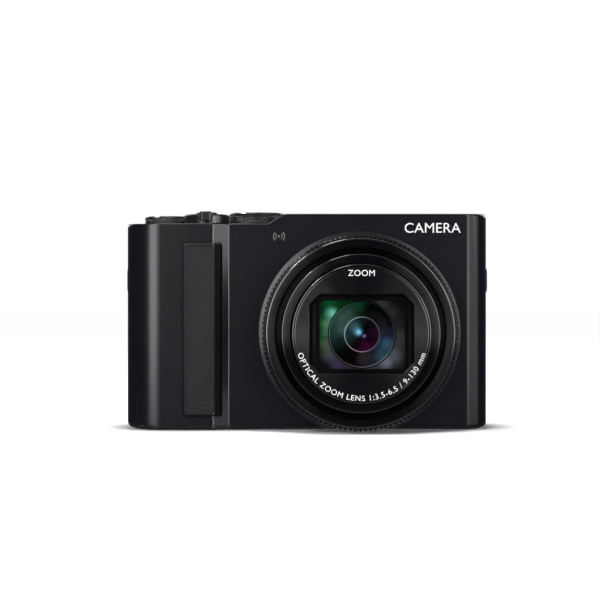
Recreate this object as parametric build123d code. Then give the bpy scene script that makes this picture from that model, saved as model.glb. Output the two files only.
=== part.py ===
from build123d import *
import os
from math import cos, pi, radians, sin

# Compact digital camera with a retracting zoom lens.
# Millimetres, +Z up, the front (lens) faces -Y, the hand grip is at -X.
# The origin is the mouth centre of the tripod socket, in the underside.

os.makedirs("parts", exist_ok=True)

# ------------------------------------------------------------- driving dimensions
WIDTH = 111.2               # body width, without the strap lugs
HIGH_DECK = 66.4            # top of the body over the lens
LOW_DECK = 63.3             # top of the body over the grip, where the dials stand
STEP_LOW_X = -12.2          # foot of the slope between the two decks
STEP_HIGH_X = -7.2          # head of that slope
BODY_FRONT = -15.5
BODY_REAR = 15.5
GRIP_FRONT = -18.5          # the raised grip face
GRIP_EDGE_X = -28.9         # where the grip face ends
GRIP_FOOT_X = -24.1         # where the grip flank meets the main front plane
WALL = 1.3                  # thickness of the covers
SEAM = 0.1                  # visible joint between two covers
SPLIT_Y = 0.0               # seam between front and rear cover
FREE = 0.15                 # gap round a button or slider
SPIN = 0.05                 # radial running clearance of a shaft

LENS_X = 16.1               # optical axis
LENS_Z = 29.85
FLANGE_R = 31.1             # fixed trim ring round the lens
RING_R = 29.8               # control ring over its ribs
RING_ROOT_R = 29.2
RING_RIBS = 120
RING_FRONT = -26.2
RING_REAR = -17.7
FIXED_R = 26.85             # fixed lens tube
FIXED_IN = 24.9
FIXED_FRONT = -25.0
BARREL_1_R = 23.9
BARREL_1_IN = 21.75
BARREL_1_FRONT = -30.3      # at the wide end, power on
BARREL_1_LEN = 25.0
BARREL_2_R = 20.75
BARREL_2_IN = 19.9
BARREL_2_FRONT = -36.45
BARREL_2_LEN = 29.3
FACE_OPENING = (31.1, 23.7)     # rectangular opening in the lens face plate
LENS_APERTURE = (25.6, 20.6)    # rectangular baffle behind the barrier blades
BLADE_EDGE = 12.0               # inner edge of an open barrier blade, from the axis
BLADE_R = 19.65
BLADE_T = 0.35

STRIP_X = (-38.5, -26.1)    # rubber grip strip
STRIP_Z = (3.8, 57.7)

MODE_DIAL = (-15.8, 1.0, 8.55)          # x, y, radius
CONTROL_DIAL = (-44.3, 6.5, 7.3)
SHUTTER = (-31.35, -6.0, 3.35)
LEVER_R = 6.9
MOVIE_BUTTON = (-31.5, 4.7, 2.6)
POWER_SWITCH = (-29.0, 11.0, 9.0, 3.4)  # x, y, length, width
FLASH_SWITCH = (15.0, 10.9, 6.5, 2.6)

FLASH_X = (4.0, 26.0)
FLASH_AXIS = (3.2, 63.6)    # y, z of the hinge of the pop-up flash
FLASH_REACH = 12.7          # hinge to the front of the flash head

SCREEN_X = (-22.0, 50.0)
SCREEN_Z = (3.5, 50.6)
EYE = (38.3, 58.3)          # viewfinder centre: x, z
DIOPTER = (50.2, 12.9, 3.0)
PAD = (-40.0, 25.0, 9.2)    # cursor pad: x, z, radius
SET_R = 3.95
SMALL_BUTTONS = {           # x, z, radius
    "finder_button": (21.5, 57.6, 2.5),
    "lock_button": (-31.0, 56.0, 2.7),
    "playback_button": (-31.0, 43.5, 2.6),
    "menu_button": (-31.0, 8.6, 2.4),
    "display_button": (-49.0, 8.6, 2.4),
}

DOOR_X = (-51.6, -14.9)     # battery and card door
DOOR_FRONT = -14.9
DOOR_HINGE = (2.4, 0.675)   # y, z
TERMINAL_Z = (28.0, 50.0)
TERMINAL_Y = (1.5, 9.5)     # front edge, hinge axis
LUG_Y = (-8.0, -4.0)
LUG_Z = (42.4, 49.7)
BOTTOM_SCREWS = [(48.0, -6.0), (48.0, 10.0), (-10.0, 10.0), (-10.5, -11.0)]
SOCKET_BORE_R = 3.175       # quarter-inch tripod thread, nominal radius

BATTERY = ((-51.2, -15.6), (-13.2, -5.0), (2.2, 47.0))
CARD = ((-48.0, -24.0), (-3.0, -0.9), (2.2, 34.2))


# ------------------------------------------------------------- helpers
def block(xs, ys, zs):
    """A box between pairs of coordinates."""
    centre = Pos(sum(xs) / 2, sum(ys) / 2, sum(zs) / 2)
    return centre * Box(xs[1] - xs[0], ys[1] - ys[0], zs[1] - zs[0])


def rod_y(x, z, radius, ys):
    """A cylinder along Y."""
    centre = Pos(x, (ys[0] + ys[1]) / 2, z)
    return centre * Rot(90, 0, 0) * Cylinder(radius, ys[1] - ys[0])


def rod_z(x, y, radius, zs):
    """A cylinder along Z."""
    return Pos(x, y, (zs[0] + zs[1]) / 2) * Cylinder(radius, zs[1] - zs[0])


def rod_x(y, z, radius, xs):
    """A cylinder along X."""
    centre = Pos((xs[0] + xs[1]) / 2, y, z)
    return centre * Rot(0, 90, 0) * Cylinder(radius, xs[1] - xs[0])


def plate_y(xs, zs, ys, corner):
    """A plate facing Y with rounded corners."""
    face = RectangleRounded(xs[1] - xs[0], zs[1] - zs[0], corner)
    face = Pos(sum(xs) / 2, ys[1], sum(zs) / 2) * Rot(90, 0, 0) * face
    return extrude(face, amount=ys[1] - ys[0])


def plate_z(xs, ys, zs, corner):
    """A plate facing Z with rounded corners."""
    face = RectangleRounded(xs[1] - xs[0], ys[1] - ys[0], corner)
    face = Pos(sum(xs) / 2, sum(ys) / 2, zs[0]) * face
    return extrude(face, amount=zs[1] - zs[0])


def plate_x(ys, zs, xs, corner):
    """A plate facing X with rounded corners."""
    face = RectangleRounded(ys[1] - ys[0], zs[1] - zs[0], corner)
    plane = Plane(origin=(xs[0], sum(ys) / 2, sum(zs) / 2), x_dir=(0, 1, 0), z_dir=(1, 0, 0))
    return extrude(plane * face, amount=xs[1] - xs[0])


def front_prism(points, radii, ys):
    """A closed outline in X-Z, run from ys[0] to ys[1]."""
    corners = [(x, ys[1], z) for x, z in points]
    face = make_face(FilletPolyline(*corners, radius=radii, close=True))
    return extrude(face, amount=ys[1] - ys[0], dir=(0, -1, 0))


def plan_prism(points, radii, zs):
    """A closed outline in X-Y, run from zs[0] to zs[1]."""
    corners = [(x, y, zs[0]) for x, y in points]
    face = make_face(FilletPolyline(*corners, radius=radii, close=True))
    return extrude(face, amount=zs[1] - zs[0], dir=(0, 0, 1))


def side_prism(points, xs):
    """A closed polygon in Y-Z, run from xs[0] to xs[1]."""
    corners = [(xs[0], y, z) for y, z in points]
    face = make_face(Polyline(*corners, close=True))
    return extrude(face, amount=xs[1] - xs[0], dir=(1, 0, 0))


def turned(profile):
    """A solid of revolution about the optical axis, from (radius, y) points."""
    corners = [(LENS_X + r, y, LENS_Z) for r, y in profile]
    face = make_face(Polyline(*corners, close=True))
    return revolve(face, axis=Axis((LENS_X, 0, LENS_Z), (0, 1, 0)))


def ribbed(radius, root, count, height):
    """A disc of the given height whose rim carries count straight ribs, on the XY plane."""
    points = []
    for rib in range(count):
        for r, share in ((root, 0.0), (root, 0.4), (radius, 0.5), (radius, 0.9)):
            turn = 2 * pi * (rib + share) / count
            points.append((r * cos(turn), r * sin(turn)))
    return extrude(make_face(Polyline(*points, close=True)), amount=height)


def save(node, shape):
    """Write one sub-part."""
    export_step(shape, os.path.join("parts", node + ".step"))


# ------------------------------------------------------------- body envelope
def body_plan(inset):
    """The body's outline seen from above, smaller by inset, run over the full height."""
    half = WIDTH / 2 - inset
    front, rear, grip = BODY_FRONT + inset, BODY_REAR - inset, GRIP_FRONT + inset
    plan = [(-half, rear), (-half, grip), (GRIP_EDGE_X, grip), (GRIP_FOOT_X, front),
            (49.15, front), (half, front + 0.9), (half, rear)]
    radii = [4.5 - inset, 9.0 - inset, 1.5, 1.0, 0.0, 6.9 - inset, 4.5 - inset]
    return plan_prism(plan, radii, (-1, HIGH_DECK + 1))


def envelope(inset=0.0):
    """The outer shape of the body, or the same shape smaller by inset all round."""
    half = WIDTH / 2 - inset
    face = [(-half, inset), (-half, LOW_DECK - inset), (STEP_LOW_X, LOW_DECK - inset),
            (STEP_HIGH_X, HIGH_DECK - inset), (half, HIGH_DECK - inset), (half, inset)]
    face_radii = [2.4 - inset, 1.0, 2.0, 2.0, 1.2, 1.8 - inset]
    return body_plan(inset) & front_prism(face, face_radii, (GRIP_FRONT - 1, BODY_REAR + 1))


def below_deck(drop):
    """Everything lower than the two decks and their slope, less drop."""
    reach = WIDTH / 2 + 2
    points = [(-reach, -2), (-reach, LOW_DECK - drop), (STEP_LOW_X, LOW_DECK - drop),
              (STEP_HIGH_X, HIGH_DECK - drop), (reach, HIGH_DECK - drop), (reach, -2)]
    return front_prism(points, [0] * 6, (GRIP_FRONT - 2, BODY_REAR + 2))


BODY = envelope()
SHELL = BODY - envelope(WALL)
EVERY_X = (-WIDTH, WIDTH)
EVERY_Y = (-50.0, 50.0)
ABOVE_FLOOR = block(EVERY_X, EVERY_Y, (WALL + SEAM, 80))


def strap_pockets(grow):
    """The two sockets for the strap lugs, one in each side."""
    ys = (LUG_Y[0] - grow, LUG_Y[1] + grow)
    zs = (LUG_Z[0] - grow, LUG_Z[1] + grow)
    return [plate_x(ys, zs, xs, 1.9) for xs in ((53.0, 56.05), (-56.05, -53.0))]


# ------------------------------------------------------------- covers
def strip_band(outer, inner):
    """A band that follows the grip's face and flank, within the strip's outline."""
    faces = []
    for lift in (outer, inner):
        points = [(-60, GRIP_FRONT - lift), (GRIP_EDGE_X + 0.4 * lift, GRIP_FRONT - lift),
                  (GRIP_FOOT_X + 0.4 * lift, BODY_FRONT - lift), (0, BODY_FRONT - lift),
                  (0, 0), (-60, 0)]
        faces.append(plan_prism(points, [0, 1.5, 1.0, 0, 0, 0], (0, 66)))
    return (faces[0] - faces[1]) & plate_y(STRIP_X, STRIP_Z, (-25, -10), 1.4)


def make_covers():
    rim = (BODY - body_plan(WALL)) + (SHELL & below_deck(WALL + SEAM))
    front = rim & ABOVE_FLOOR & block(EVERY_X, (-50, SPLIT_Y - SEAM / 2), (-1, 80))
    front -= rod_y(LENS_X, LENS_Z, FIXED_R + 0.15, (-30, 0))
    front -= strip_band(2.0, -0.55)
    for pocket in strap_pockets(0.05):
        front -= pocket
    save("front_cover", front)
    save("grip_rubber", strip_band(0.35, -0.55))

    rear = SHELL & below_deck(WALL + SEAM) & ABOVE_FLOOR
    rear &= block(EVERY_X, (SPLIT_Y + SEAM / 2, 50), (-1, 80))
    rear -= plate_y((SCREEN_X[0] - 0.1, SCREEN_X[1] + 0.1),
                    (SCREEN_Z[0] - 0.1, SCREEN_Z[1] + 0.1), (10, 20), 1.6)
    rear -= rod_y(PAD[0], PAD[1], PAD[2] + FREE, (10, 20))
    for x, z, radius in SMALL_BUTTONS.values():
        rear -= rod_y(x, z, radius + FREE, (10, 20))
    rear -= plate_y((EYE[0] - 6.6, EYE[0] + 6.6), (EYE[1] - 4.1, EYE[1] + 4.1), (10, 20), 1.0)
    dx, dy, dr = DIOPTER
    rear -= block((dx - dr - 0.2, dx + dr + 0.2), (10, 20), (EYE[1] - 1.7, EYE[1] + 1.7))
    rear -= block((-60, -53), (TERMINAL_Y[0] - 0.15, TERMINAL_Y[1] + 0.85),
                  (TERMINAL_Z[0] - 0.15, TERMINAL_Z[1] + 0.15))
    rear -= rod_z(-54.95, TERMINAL_Y[1], 0.3, (TERMINAL_Z[0] - 1, TERMINAL_Z[1] + 1))
    for row in range(5):
        rear -= rod_x(4.6, 35.0 + 2 * row, 0.5, (52, 58))
    save("rear_cover", rear)
    thumb = plate_y((-50.8, -42.2), (38.0, 58.0), (BODY_REAR, BODY_REAR + 1.1), 3.0)
    save("thumb_rubber", fillet(thumb.faces().sort_by(Axis.Y)[-1].edges(), 0.8))


def flash_pocket():
    """Outside and inside of the well that the pop-up flash folds into."""
    inside = block((FLASH_X[0] - 0.25, FLASH_X[1] + 0.25),
                   (FLASH_AXIS[0] - FLASH_REACH - 0.35, FLASH_AXIS[0] + 3.05), (58.0, 70))
    outside = block((FLASH_X[0] - 1.05, FLASH_X[1] + 1.05),
                    (FLASH_AXIS[0] - FLASH_REACH - 1.15, FLASH_AXIS[0] + 3.85), (57.4, 65.3))
    return outside, inside


def make_top_cover():
    mx, my, mr = MODE_DIAL
    inset = body_plan(WALL + SEAM) + block(EVERY_X, (SPLIT_Y + SEAM / 2, 50), (-1, 80))
    top = (BODY & inset) - below_deck(WALL)
    top += rod_z(mx, my, mr + 1.6, (LOW_DECK - WALL, HIGH_DECK)) & BODY
    top -= rod_z(mx, my, mr + 0.45, (LOW_DECK, 70))
    outside, inside = flash_pocket()
    top = top + outside - inside
    top -= rod_x(FLASH_AXIS[0], FLASH_AXIS[1], 0.6, (FLASH_X[0] - 0.9, FLASH_X[1] + 0.9))
    top -= rod_z(mx, my, 2.5 + SPIN, (50, 70))
    top -= rod_z(CONTROL_DIAL[0], CONTROL_DIAL[1], 2.5 + SPIN, (50, 70))
    top -= rod_z(SHUTTER[0], SHUTTER[1], 4.6 + SPIN, (50, 70))
    top -= rod_z(MOVIE_BUTTON[0], MOVIE_BUTTON[1], MOVIE_BUTTON[2] + FREE, (50, 70))
    for (x, y, length, width), travel in ((POWER_SWITCH, 2.5), (FLASH_SWITCH, 1.6)):
        slot = (x - length / 2 + 1.2, x + length / 2 - 1.2 + travel)
        top -= block(slot, (y - 0.7, y + 0.7), (50, 70))
    for x in (32.0, 43.0):
        for row in range(3):
            top -= plate_z((x, x + 3.4), (-8.3 + 1.3 * row, -7.8 + 1.3 * row), (60, 70), 0.24)
    save("top_cover", top)


def make_bottom_cover():
    bottom = BODY & block(EVERY_X, EVERY_Y, (-1, WALL))
    bottom -= block((DOOR_X[0] - 0.15, DOOR_X[1] + 0.15), (DOOR_FRONT - 0.15, DOOR_HINGE[0] + 0.9),
                    (-1, 3))
    bottom -= rod_x(*DOOR_HINGE, 0.3, (DOOR_X[0] - 1.1, DOOR_X[1] + 1.1))
    bottom -= rod_z(0, 0, 5.0, (-1, 3))
    for x, y in BOTTOM_SCREWS:
        bottom -= rod_z(x, y, 0.75, (-1, 3)) + rod_z(x, y, 1.6, (-1, 0.75))
    save("bottom_cover", bottom)


# ------------------------------------------------------------- lens
def octagon(size, cut, ys):
    """A rectangle with cut corners about the optical axis, run along Y."""
    w, h = size[0] / 2, size[1] / 2
    outline = [(w, h - cut), (w - cut, h), (cut - w, h), (-w, h - cut),
               (-w, cut - h), (cut - w, -h), (w - cut, -h), (w, cut - h)]
    points = [(LENS_X + x, LENS_Z + z) for x, z in outline]
    return front_prism(points, [0.6] * 8, ys)


def make_fixed_lens():
    flange = turned([(26.9, -15.5), (FLANGE_R, -15.5), (FLANGE_R, -16.9),
                     (FLANGE_R - 0.6, -17.5), (26.9, -17.5)])
    save("lens_flange", flange & block(EVERY_X, EVERY_Y, (0.4, 80)))

    ring = Pos(LENS_X, RING_REAR, LENS_Z) * Rot(90, 0, 0) * ribbed(
        RING_R, RING_ROOT_R, RING_RIBS, RING_REAR - RING_FRONT)
    blank = turned([(FIXED_R + SPIN, RING_REAR), (RING_R - 0.3, RING_REAR),
                    (RING_R + 0.5, RING_REAR - 0.8), (RING_R + 0.5, RING_FRONT + 1.5),
                    (RING_R - 0.8, RING_FRONT + 0.3), (RING_R - 1.1, RING_FRONT),
                    (26.0, RING_FRONT), (26.0, RING_FRONT + 1.0),
                    (FIXED_R + SPIN, RING_FRONT + 1.0)])
    save("control_ring", ring & blank)

    tube = turned([(FIXED_R, FIXED_FRONT), (FIXED_R, 4.6), (0, 4.6), (0, 3.4),
                   (FIXED_IN, 3.4), (FIXED_IN, FIXED_FRONT + 0.8),
                   (BARREL_1_R + 0.2, FIXED_FRONT + 0.8), (BARREL_1_R + 0.2, FIXED_FRONT)])
    tube -= block((LENS_X - 10, LENS_X + 10), (3, 5), (LENS_Z - 8, LENS_Z + 8))
    for turn in (45, 135, 225, 315):
        x = LENS_X + 22 * cos(radians(turn))
        z = LENS_Z + 22 * sin(radians(turn))
        tube += rod_y(x, z, 1.8, (4.6, 7.2))
    for side in (-1, 1):
        tube += rod_y(LENS_X + 13 * side, LENS_Z, 0.6, (-6.2, 3.4))
    save("fixed_barrel", tube)
    save("zoom_motor", rod_y(-10.0, 12.2, 4.2, (-13, 0)) + rod_y(-10.0, 12.2, 3.2, (0, 4))
         + rod_y(-10.0, 12.2, 0.8, (4, 6)))


def make_moving_lens():
    rear_1 = BARREL_1_FRONT + BARREL_1_LEN
    save("barrel_1", turned([
        (21.2, BARREL_1_FRONT), (BARREL_1_R - 0.4, BARREL_1_FRONT),
        (BARREL_1_R, BARREL_1_FRONT + 0.4), (BARREL_1_R, rear_1 - 2.0),
        (FIXED_IN - 0.1, rear_1 - 2.0), (FIXED_IN - 0.1, rear_1),
        (BARREL_1_IN, rear_1), (BARREL_1_IN, BARREL_1_FRONT + 1.0),
        (21.2, BARREL_1_FRONT + 1.0)]))

    front, rear = BARREL_2_FRONT, BARREL_2_FRONT + BARREL_2_LEN
    shell = turned([
        (20.15, front), (BARREL_2_R - 0.25, front), (BARREL_2_R, front + 0.25),
        (BARREL_2_R, rear - 1.5), (BARREL_1_IN - 0.1, rear - 1.5), (BARREL_1_IN - 0.1, rear),
        (19.6, rear), (19.6, front + 10.1), (17.05, front + 10.1), (17.05, front + 3.1),
        (0, front + 3.1), (0, front + 2.3), (BARREL_2_IN, front + 2.3),
        (BARREL_2_IN, front + 1.1), (20.15, front + 1.1)])
    save("barrel_2", shell - octagon(LENS_APERTURE, 3.0, (front, front + 5)))

    plate = rod_y(LENS_X, LENS_Z, 20.1, (front + 0.1, front + 1.1))
    save("face_plate", plate - octagon(FACE_OPENING, 3.2, (front - 1, front + 3)))

    for name, side, layer in (("blade_upper_lead", 1, 0), ("blade_upper_trail", 1, 1),
                              ("blade_lower_lead", -1, 0), ("blade_lower_trail", -1, 1)):
        y = front + 1.2 + layer * (BLADE_T + 0.15)
        disc = rod_y(LENS_X, LENS_Z, BLADE_R, (y, y + BLADE_T))
        zs = sorted((LENS_Z + side * BLADE_EDGE, LENS_Z + side * 30))
        save(name, disc & block(EVERY_X, EVERY_Y, zs))

    glass, curve = front + 3.6, 66.0
    ball = Pos(LENS_X, glass + curve, LENS_Z) * Sphere(curve)
    save("front_lens_group", ball & rod_y(LENS_X, LENS_Z, 17.0, (glass - 1, glass + 6.4)))

    unit = rod_y(LENS_X, LENS_Z, 15.5, (-20, -12)) - rod_y(LENS_X, LENS_Z, 6.2, (-21, -11))
    unit += block((LENS_X - 4, LENS_X + 4), (-20, -12), (LENS_Z + 12, LENS_Z + 17))
    save("shutter_unit", unit)
    save("second_lens_group", rod_y(LENS_X, LENS_Z, 6.2, (-19, -13)))
    focus = rod_y(LENS_X, LENS_Z, 9.0, (-4.5, -1.5))
    focus += block((LENS_X - 14.4, LENS_X + 14.4), (-4.0, -2.0), (LENS_Z - 1.6, LENS_Z + 1.6))
    for side in (-1, 1):
        focus -= rod_y(LENS_X + 13 * side, LENS_Z, 0.65, (-8, 4))
    save("focus_lens_group", focus)


# ------------------------------------------------------------- inside
def make_inside():
    sensor = block((LENS_X - 9.5, LENS_X + 9.5), (4.7, 6.4), (LENS_Z - 7.5, LENS_Z + 7.5))
    sensor += block((LENS_X - 12, LENS_X + 12), (6.4, 7.2), (LENS_Z - 10, LENS_Z + 10))
    save("image_sensor", sensor)

    frame = block((-52.0, 50.0), (7.2, 8.0), (2.6, 49.5))
    frame += block((-14.0, 28.0), (7.2, 8.0), (49.5, 56.5))
    for x, y in BOTTOM_SCREWS:
        ys = (min(y - 2.4, 7.2), max(y + 2.4, 8.0))
        frame += block((x - 2.4, x + 2.4), ys, (WALL, 2.6))
    for x, y in BOTTOM_SCREWS:
        frame -= rod_z(x, y, 0.7, (0, 2.5))
    save("chassis_frame", frame)

    board = block((-20.0, 49.0), (8.0, 9.0), (6.0, 48.0))
    for x, z, size in ((2, 30, 14), (20, 18, 10), (20, 37, 11), (38, 26, 9), (-12, 14, 8)):
        board += block((x - size / 2, x + size / 2), (9.0, 10.1), (z - size / 2, z + size / 2))
    save("main_board", board)

    (bx0, bx1), (by0, by1), (bz0, bz1) = BATTERY
    save("battery", fillet(block(*BATTERY).edges().filter_by(Axis.Z), 1.5))
    save("memory_card", block(*CARD))
    (cx0, cx1), (cy0, cy1), (cz0, cz1) = CARD
    holder = block((bx0 - 0.8, bx1 + 0.8), (by0 - 0.8, 0.6), (2.2, 49.5))
    holder -= block((bx0 - 0.1, bx1 + 0.1), (by0 - 0.1, by1 + 0.1), (1, bz1 + 0.1))
    holder -= block((cx0 - 0.1, cx1 + 0.1), (cy0 - 0.1, cy1 + 0.1), (1, cz1 + 0.1))
    save("battery_holder", holder)
    save("flash_capacitor", rod_z(48.9, -5.2, 4.8, (4, 36)))
    save("speaker", rod_x(4.6, 39.0, 4.4, (51.4, 54.3)))

    save("lcd_panel", block((-20.5, 48.5), (11.0, 14.3), (5.0, 49.5)))
    glass = plate_y(SCREEN_X, SCREEN_Z, (14.3, 15.65), 1.5)
    save("screen_glass", chamfer(glass.faces().sort_by(Axis.Y)[-1].edges(), 0.2))


def make_viewfinder():
    x, z = EYE
    body = block((x - 7.8, x + 7.8), (-2.0, 14.2), (53.4, 63.6))
    body -= block((x - 5.6, x + 5.6), (2.0, 15.0), (z - 3.6, z + 3.6))
    save("viewfinder_module", body)
    save("eyepiece_lens", plate_y((x - 6.5, x + 6.5), (z - 4.0, z + 4.0), (14.2, 15.3), 1.0))
    cup = plate_y((x - 8.5, x + 8.5), (z - 6.1, z + 6.1), (BODY_REAR, 19.0), 2.2)
    cup -= plate_y((x - 6.4, x + 6.4), (z - 3.9, z + 3.9), (15, 20), 1.6)
    save("eyecup", fillet(cup.faces().sort_by(Axis.Y)[-1].edges(), 0.6))
    dx, dy, dr = DIOPTER
    wheel = Pos(dx, dy, z - 1.5) * ribbed(dr, dr - 0.2, 24, 3.0)
    save("diopter_dial", wheel + rod_z(dx, dy, 0.8, (z - 3.0, z + 3.0)))


# ------------------------------------------------------------- top controls
def make_flash():
    ay, az = FLASH_AXIS
    reach, top, low = FLASH_REACH, HIGH_DECK - 0.05 - az, 5.0
    arc = [(ay + top * sin(radians(t)), az + top * cos(radians(t))) for t in range(0, 91, 15)]
    outline = arc + [(ay + 0.5, az - low), (ay - 8.0, az - low),
                     (ay - 12.5, az - 0.5), (ay - reach, az + top)]
    head = side_prism(outline, FLASH_X)
    head -= rod_x(ay, az, 0.6 + SPIN, (0, 30))
    middle = (ay - 10.25, az - 2.75)
    lamp = Pos(sum(FLASH_X) / 2, *middle) * Rot(45, 0, 0) * Box(18.0, 1.6, 5.0)
    save("flash_head", head - lamp)
    save("flash_window", lamp & head)
    save("flash_switch", slider(FLASH_SWITCH, HIGH_DECK))


def slider(place, deck):
    """A thumb slider: a ridged cap over the deck, on a neck and a foot below it."""
    x, y, length, width = place
    cap = plate_z((x - length / 2, x + length / 2), (y - width / 2, y + width / 2),
                  (deck + 0.1, deck + 0.9), 0.8)
    cap += block((x - length / 2 + 1.4, x + length / 2 - 1.4), (y - 0.6, y + 0.6),
                 (deck - WALL - 0.2, deck + 0.2))
    cap += block((x - length / 2 + 1.4, x + length / 2 - 1.4), (y - 1.4, y + 1.4),
                 (deck - WALL - 1.0, deck - WALL - 0.2))
    return cap


def dial(place, ribs, zs):
    """A knurled dial with its shaft and the retaining collar under the deck."""
    x, y, radius = place
    cap = Pos(x, y, zs[0]) * ribbed(radius, radius - 0.3, ribs, zs[1] - zs[0])
    cap &= rod_z(x, y, radius, zs) - rod_z(x, y, radius - 1.4, (zs[1] - 0.15, zs[1]))
    cap += rod_z(x, y, 2.5, (LOW_DECK - WALL - 2.2, zs[0]))
    return cap + rod_z(x, y, 3.4, (LOW_DECK - WALL - 2.2, LOW_DECK - WALL - 0.2))


def make_top_controls():
    save("mode_dial", dial(MODE_DIAL, 90, (LOW_DECK + 0.3, 67.25)))
    save("control_dial", dial(CONTROL_DIAL, 76, (LOW_DECK + 0.3, 66.4)))

    x, y, radius = SHUTTER
    lever = rod_z(x, y, LEVER_R, (LOW_DECK + 0.3, 66.6))
    tab = plate_z((x - 1.9, x + 1.9), (y - LEVER_R - 2.4, y - 4.4), (64.4, 67.3), 0.9)
    lever += fillet(tab.faces().sort_by(Axis.Z)[-1].edges(), 0.5)
    lever += rod_z(x, y, 4.6, (60.0, LOW_DECK + 0.3)) + rod_z(x, y, 5.4, (60.0, 61.7))
    save("zoom_lever", lever - rod_z(x, y, radius + 0.25, (59, 70)))
    button = rod_z(x, y, radius, (65.2, 67.25))
    button = fillet(button.faces().sort_by(Axis.Z)[-1].edges(), 0.5)
    save("shutter_button", button + rod_z(x, y, 1.2, (58.4, 65.2)))

    save("power_switch", slider(POWER_SWITCH, LOW_DECK))
    x, y, radius = MOVIE_BUTTON
    button = rod_z(x, y, radius, (61.0, LOW_DECK + 0.35))
    save("movie_button", button + rod_z(x, y, radius + 0.7, (60.4, 61.6)))


# ------------------------------------------------------------- rear controls
def make_rear_controls():
    inner = BODY_REAR - WALL
    for node, (x, z, radius) in SMALL_BUTTONS.items():
        cap = rod_y(x, z, radius, (inner - 0.9, BODY_REAR + 0.5))
        cap = fillet(cap.faces().sort_by(Axis.Y)[-1].edges(), 0.35)
        save(node, cap + rod_y(x, z, radius + 0.7, (inner - 1.0, inner - 0.3)))
    x, z, radius = PAD
    pad = rod_y(x, z, radius, (inner - 0.9, BODY_REAR + 0.55))
    pad = fillet(pad.faces().sort_by(Axis.Y)[-1].edges(), 0.4)
    pad += rod_y(x, z, radius + 0.7, (inner - 1.0, inner - 0.3))
    save("cursor_pad", pad - rod_y(x, z, SET_R + FREE, (10, 20)))
    centre = rod_y(x, z, SET_R, (inner - 1.0, BODY_REAR + 0.6))
    save("set_button", fillet(centre.faces().sort_by(Axis.Y)[-1].edges(), 0.4))

    board = block((-52.5, -26.5), (11.4, 12.2), (4.0, 60.0))
    domes = [(bx, bz) for bx, bz, _ in SMALL_BUTTONS.values() if bx < 0] + [(x, z)]
    domes += [(x + 6.5 * cos(radians(t)), z + 6.5 * sin(radians(t))) for t in range(0, 360, 90)]
    for bx, bz in domes:
        board += rod_y(bx, bz, 1.5, (12.2, 12.6))
    save("button_board", board)


# ------------------------------------------------------------- doors and fittings
def make_doors():
    hy, hz = DOOR_HINGE
    door = block(DOOR_X, (DOOR_FRONT, hy), (0.05, WALL)) + rod_x(hy, hz, 0.625, DOOR_X)
    door -= rod_x(hy, hz, 0.3 + SPIN, EVERY_X)
    door -= plate_z((-40.0, -27.0), (-12.9, -8.7), (-1, 0.8), 0.8)
    save("battery_door", door)
    latch = plate_z((-39.8, -30.2), (-12.7, -8.9), (0.35, 0.75), 0.7)
    latch += plate_z((-37.8, -32.2), (-12.0, -9.6), (0.1, 0.5), 0.6)
    save("door_latch", latch)

    ty0, ty1 = TERMINAL_Y
    hx = -54.95
    flap = block((-WIDTH / 2, hx + 0.65), (ty0, ty1), TERMINAL_Z)
    flap += rod_z(hx, ty1, 0.65, TERMINAL_Z)
    save("terminal_door", flap - rod_z(hx, ty1, 0.3 + SPIN, (20, 60)))

    sockets = []
    for z, length, width in ((34.0, 8.0, 2.6), (44.5, 6.6, 3.0)):
        shell = plate_x((4.6 - width / 2, 4.6 + width / 2), (z - length / 2, z + length / 2),
                        (-53.9, -47.0), 0.7)
        shell -= plate_x((5.0 - width / 2, 4.2 + width / 2),
                         (z - length / 2 + 0.4, z + length / 2 - 0.4), (-55, -49.0), 0.4)
        sockets.append(shell)
    carrier = block((-53.0, -46.0), (6.3, 7.2), (28.0, 50.0))
    save("terminal_ports", Compound(children=[carrier + sockets[0] + sockets[1]
                                              + block((-50, -47), (5.5, 6.4), (31, 47))]))

    door_pin = rod_x(hy, hz, 0.3, (DOOR_X[0] - 1.1, DOOR_X[1] + 1.1))
    flap_pin = rod_z(hx, ty1, 0.3, (TERMINAL_Z[0] - 1, TERMINAL_Z[1] + 1))
    flash_pin = rod_x(FLASH_AXIS[0], FLASH_AXIS[1], 0.6, (FLASH_X[0] - 0.9, FLASH_X[1] + 0.9))
    save("hinge_pins", Compound(children=[door_pin, flap_pin, flash_pin]))


def make_fittings():
    socket = rod_z(0, 0, 5.0, (0, 5.4)) + rod_z(0, 0, 6.4, (WALL, 2.2))
    save("tripod_socket", socket - rod_z(0, 0, SOCKET_BORE_R, (-1, 4.9)))

    lugs = []
    for pocket, side in zip(strap_pockets(0.0), (1, -1)):
        ys = (LUG_Y[0] + 0.6, LUG_Y[1] - 0.6)
        zs = (LUG_Z[0] + 0.7, LUG_Z[1] - 0.7)
        hollow = plate_x(ys, zs, sorted((side * 53.5, side * 57.0)), 1.3)
        bar = rod_z(side * 55.35, sum(LUG_Y) / 2, 0.65, LUG_Z)
        lugs.append(pocket - hollow + (bar & pocket))
    save("strap_lugs", Compound(children=lugs))

    screws = []
    for x, y in BOTTOM_SCREWS:
        screw = rod_z(x, y, 1.5, (0.1, 0.75)) + rod_z(x, y, 0.7, (0.75, 2.5))
        screw -= block((x - 0.9, x + 0.9), (y - 0.17, y + 0.17), (0, 0.45))
        screw -= block((x - 0.17, x + 0.17), (y - 0.9, y + 0.9), (0, 0.45))
        screws.append(screw)
    save("screws", Compound(children=screws))


make_covers()
make_top_cover()
make_bottom_cover()
make_fixed_lens()
make_moving_lens()
make_inside()
make_viewfinder()
make_flash()
make_top_controls()
make_rear_controls()
make_doors()
make_fittings()
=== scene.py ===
import math

import bmesh
import bpy
from mathutils import Matrix, Vector


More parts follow.
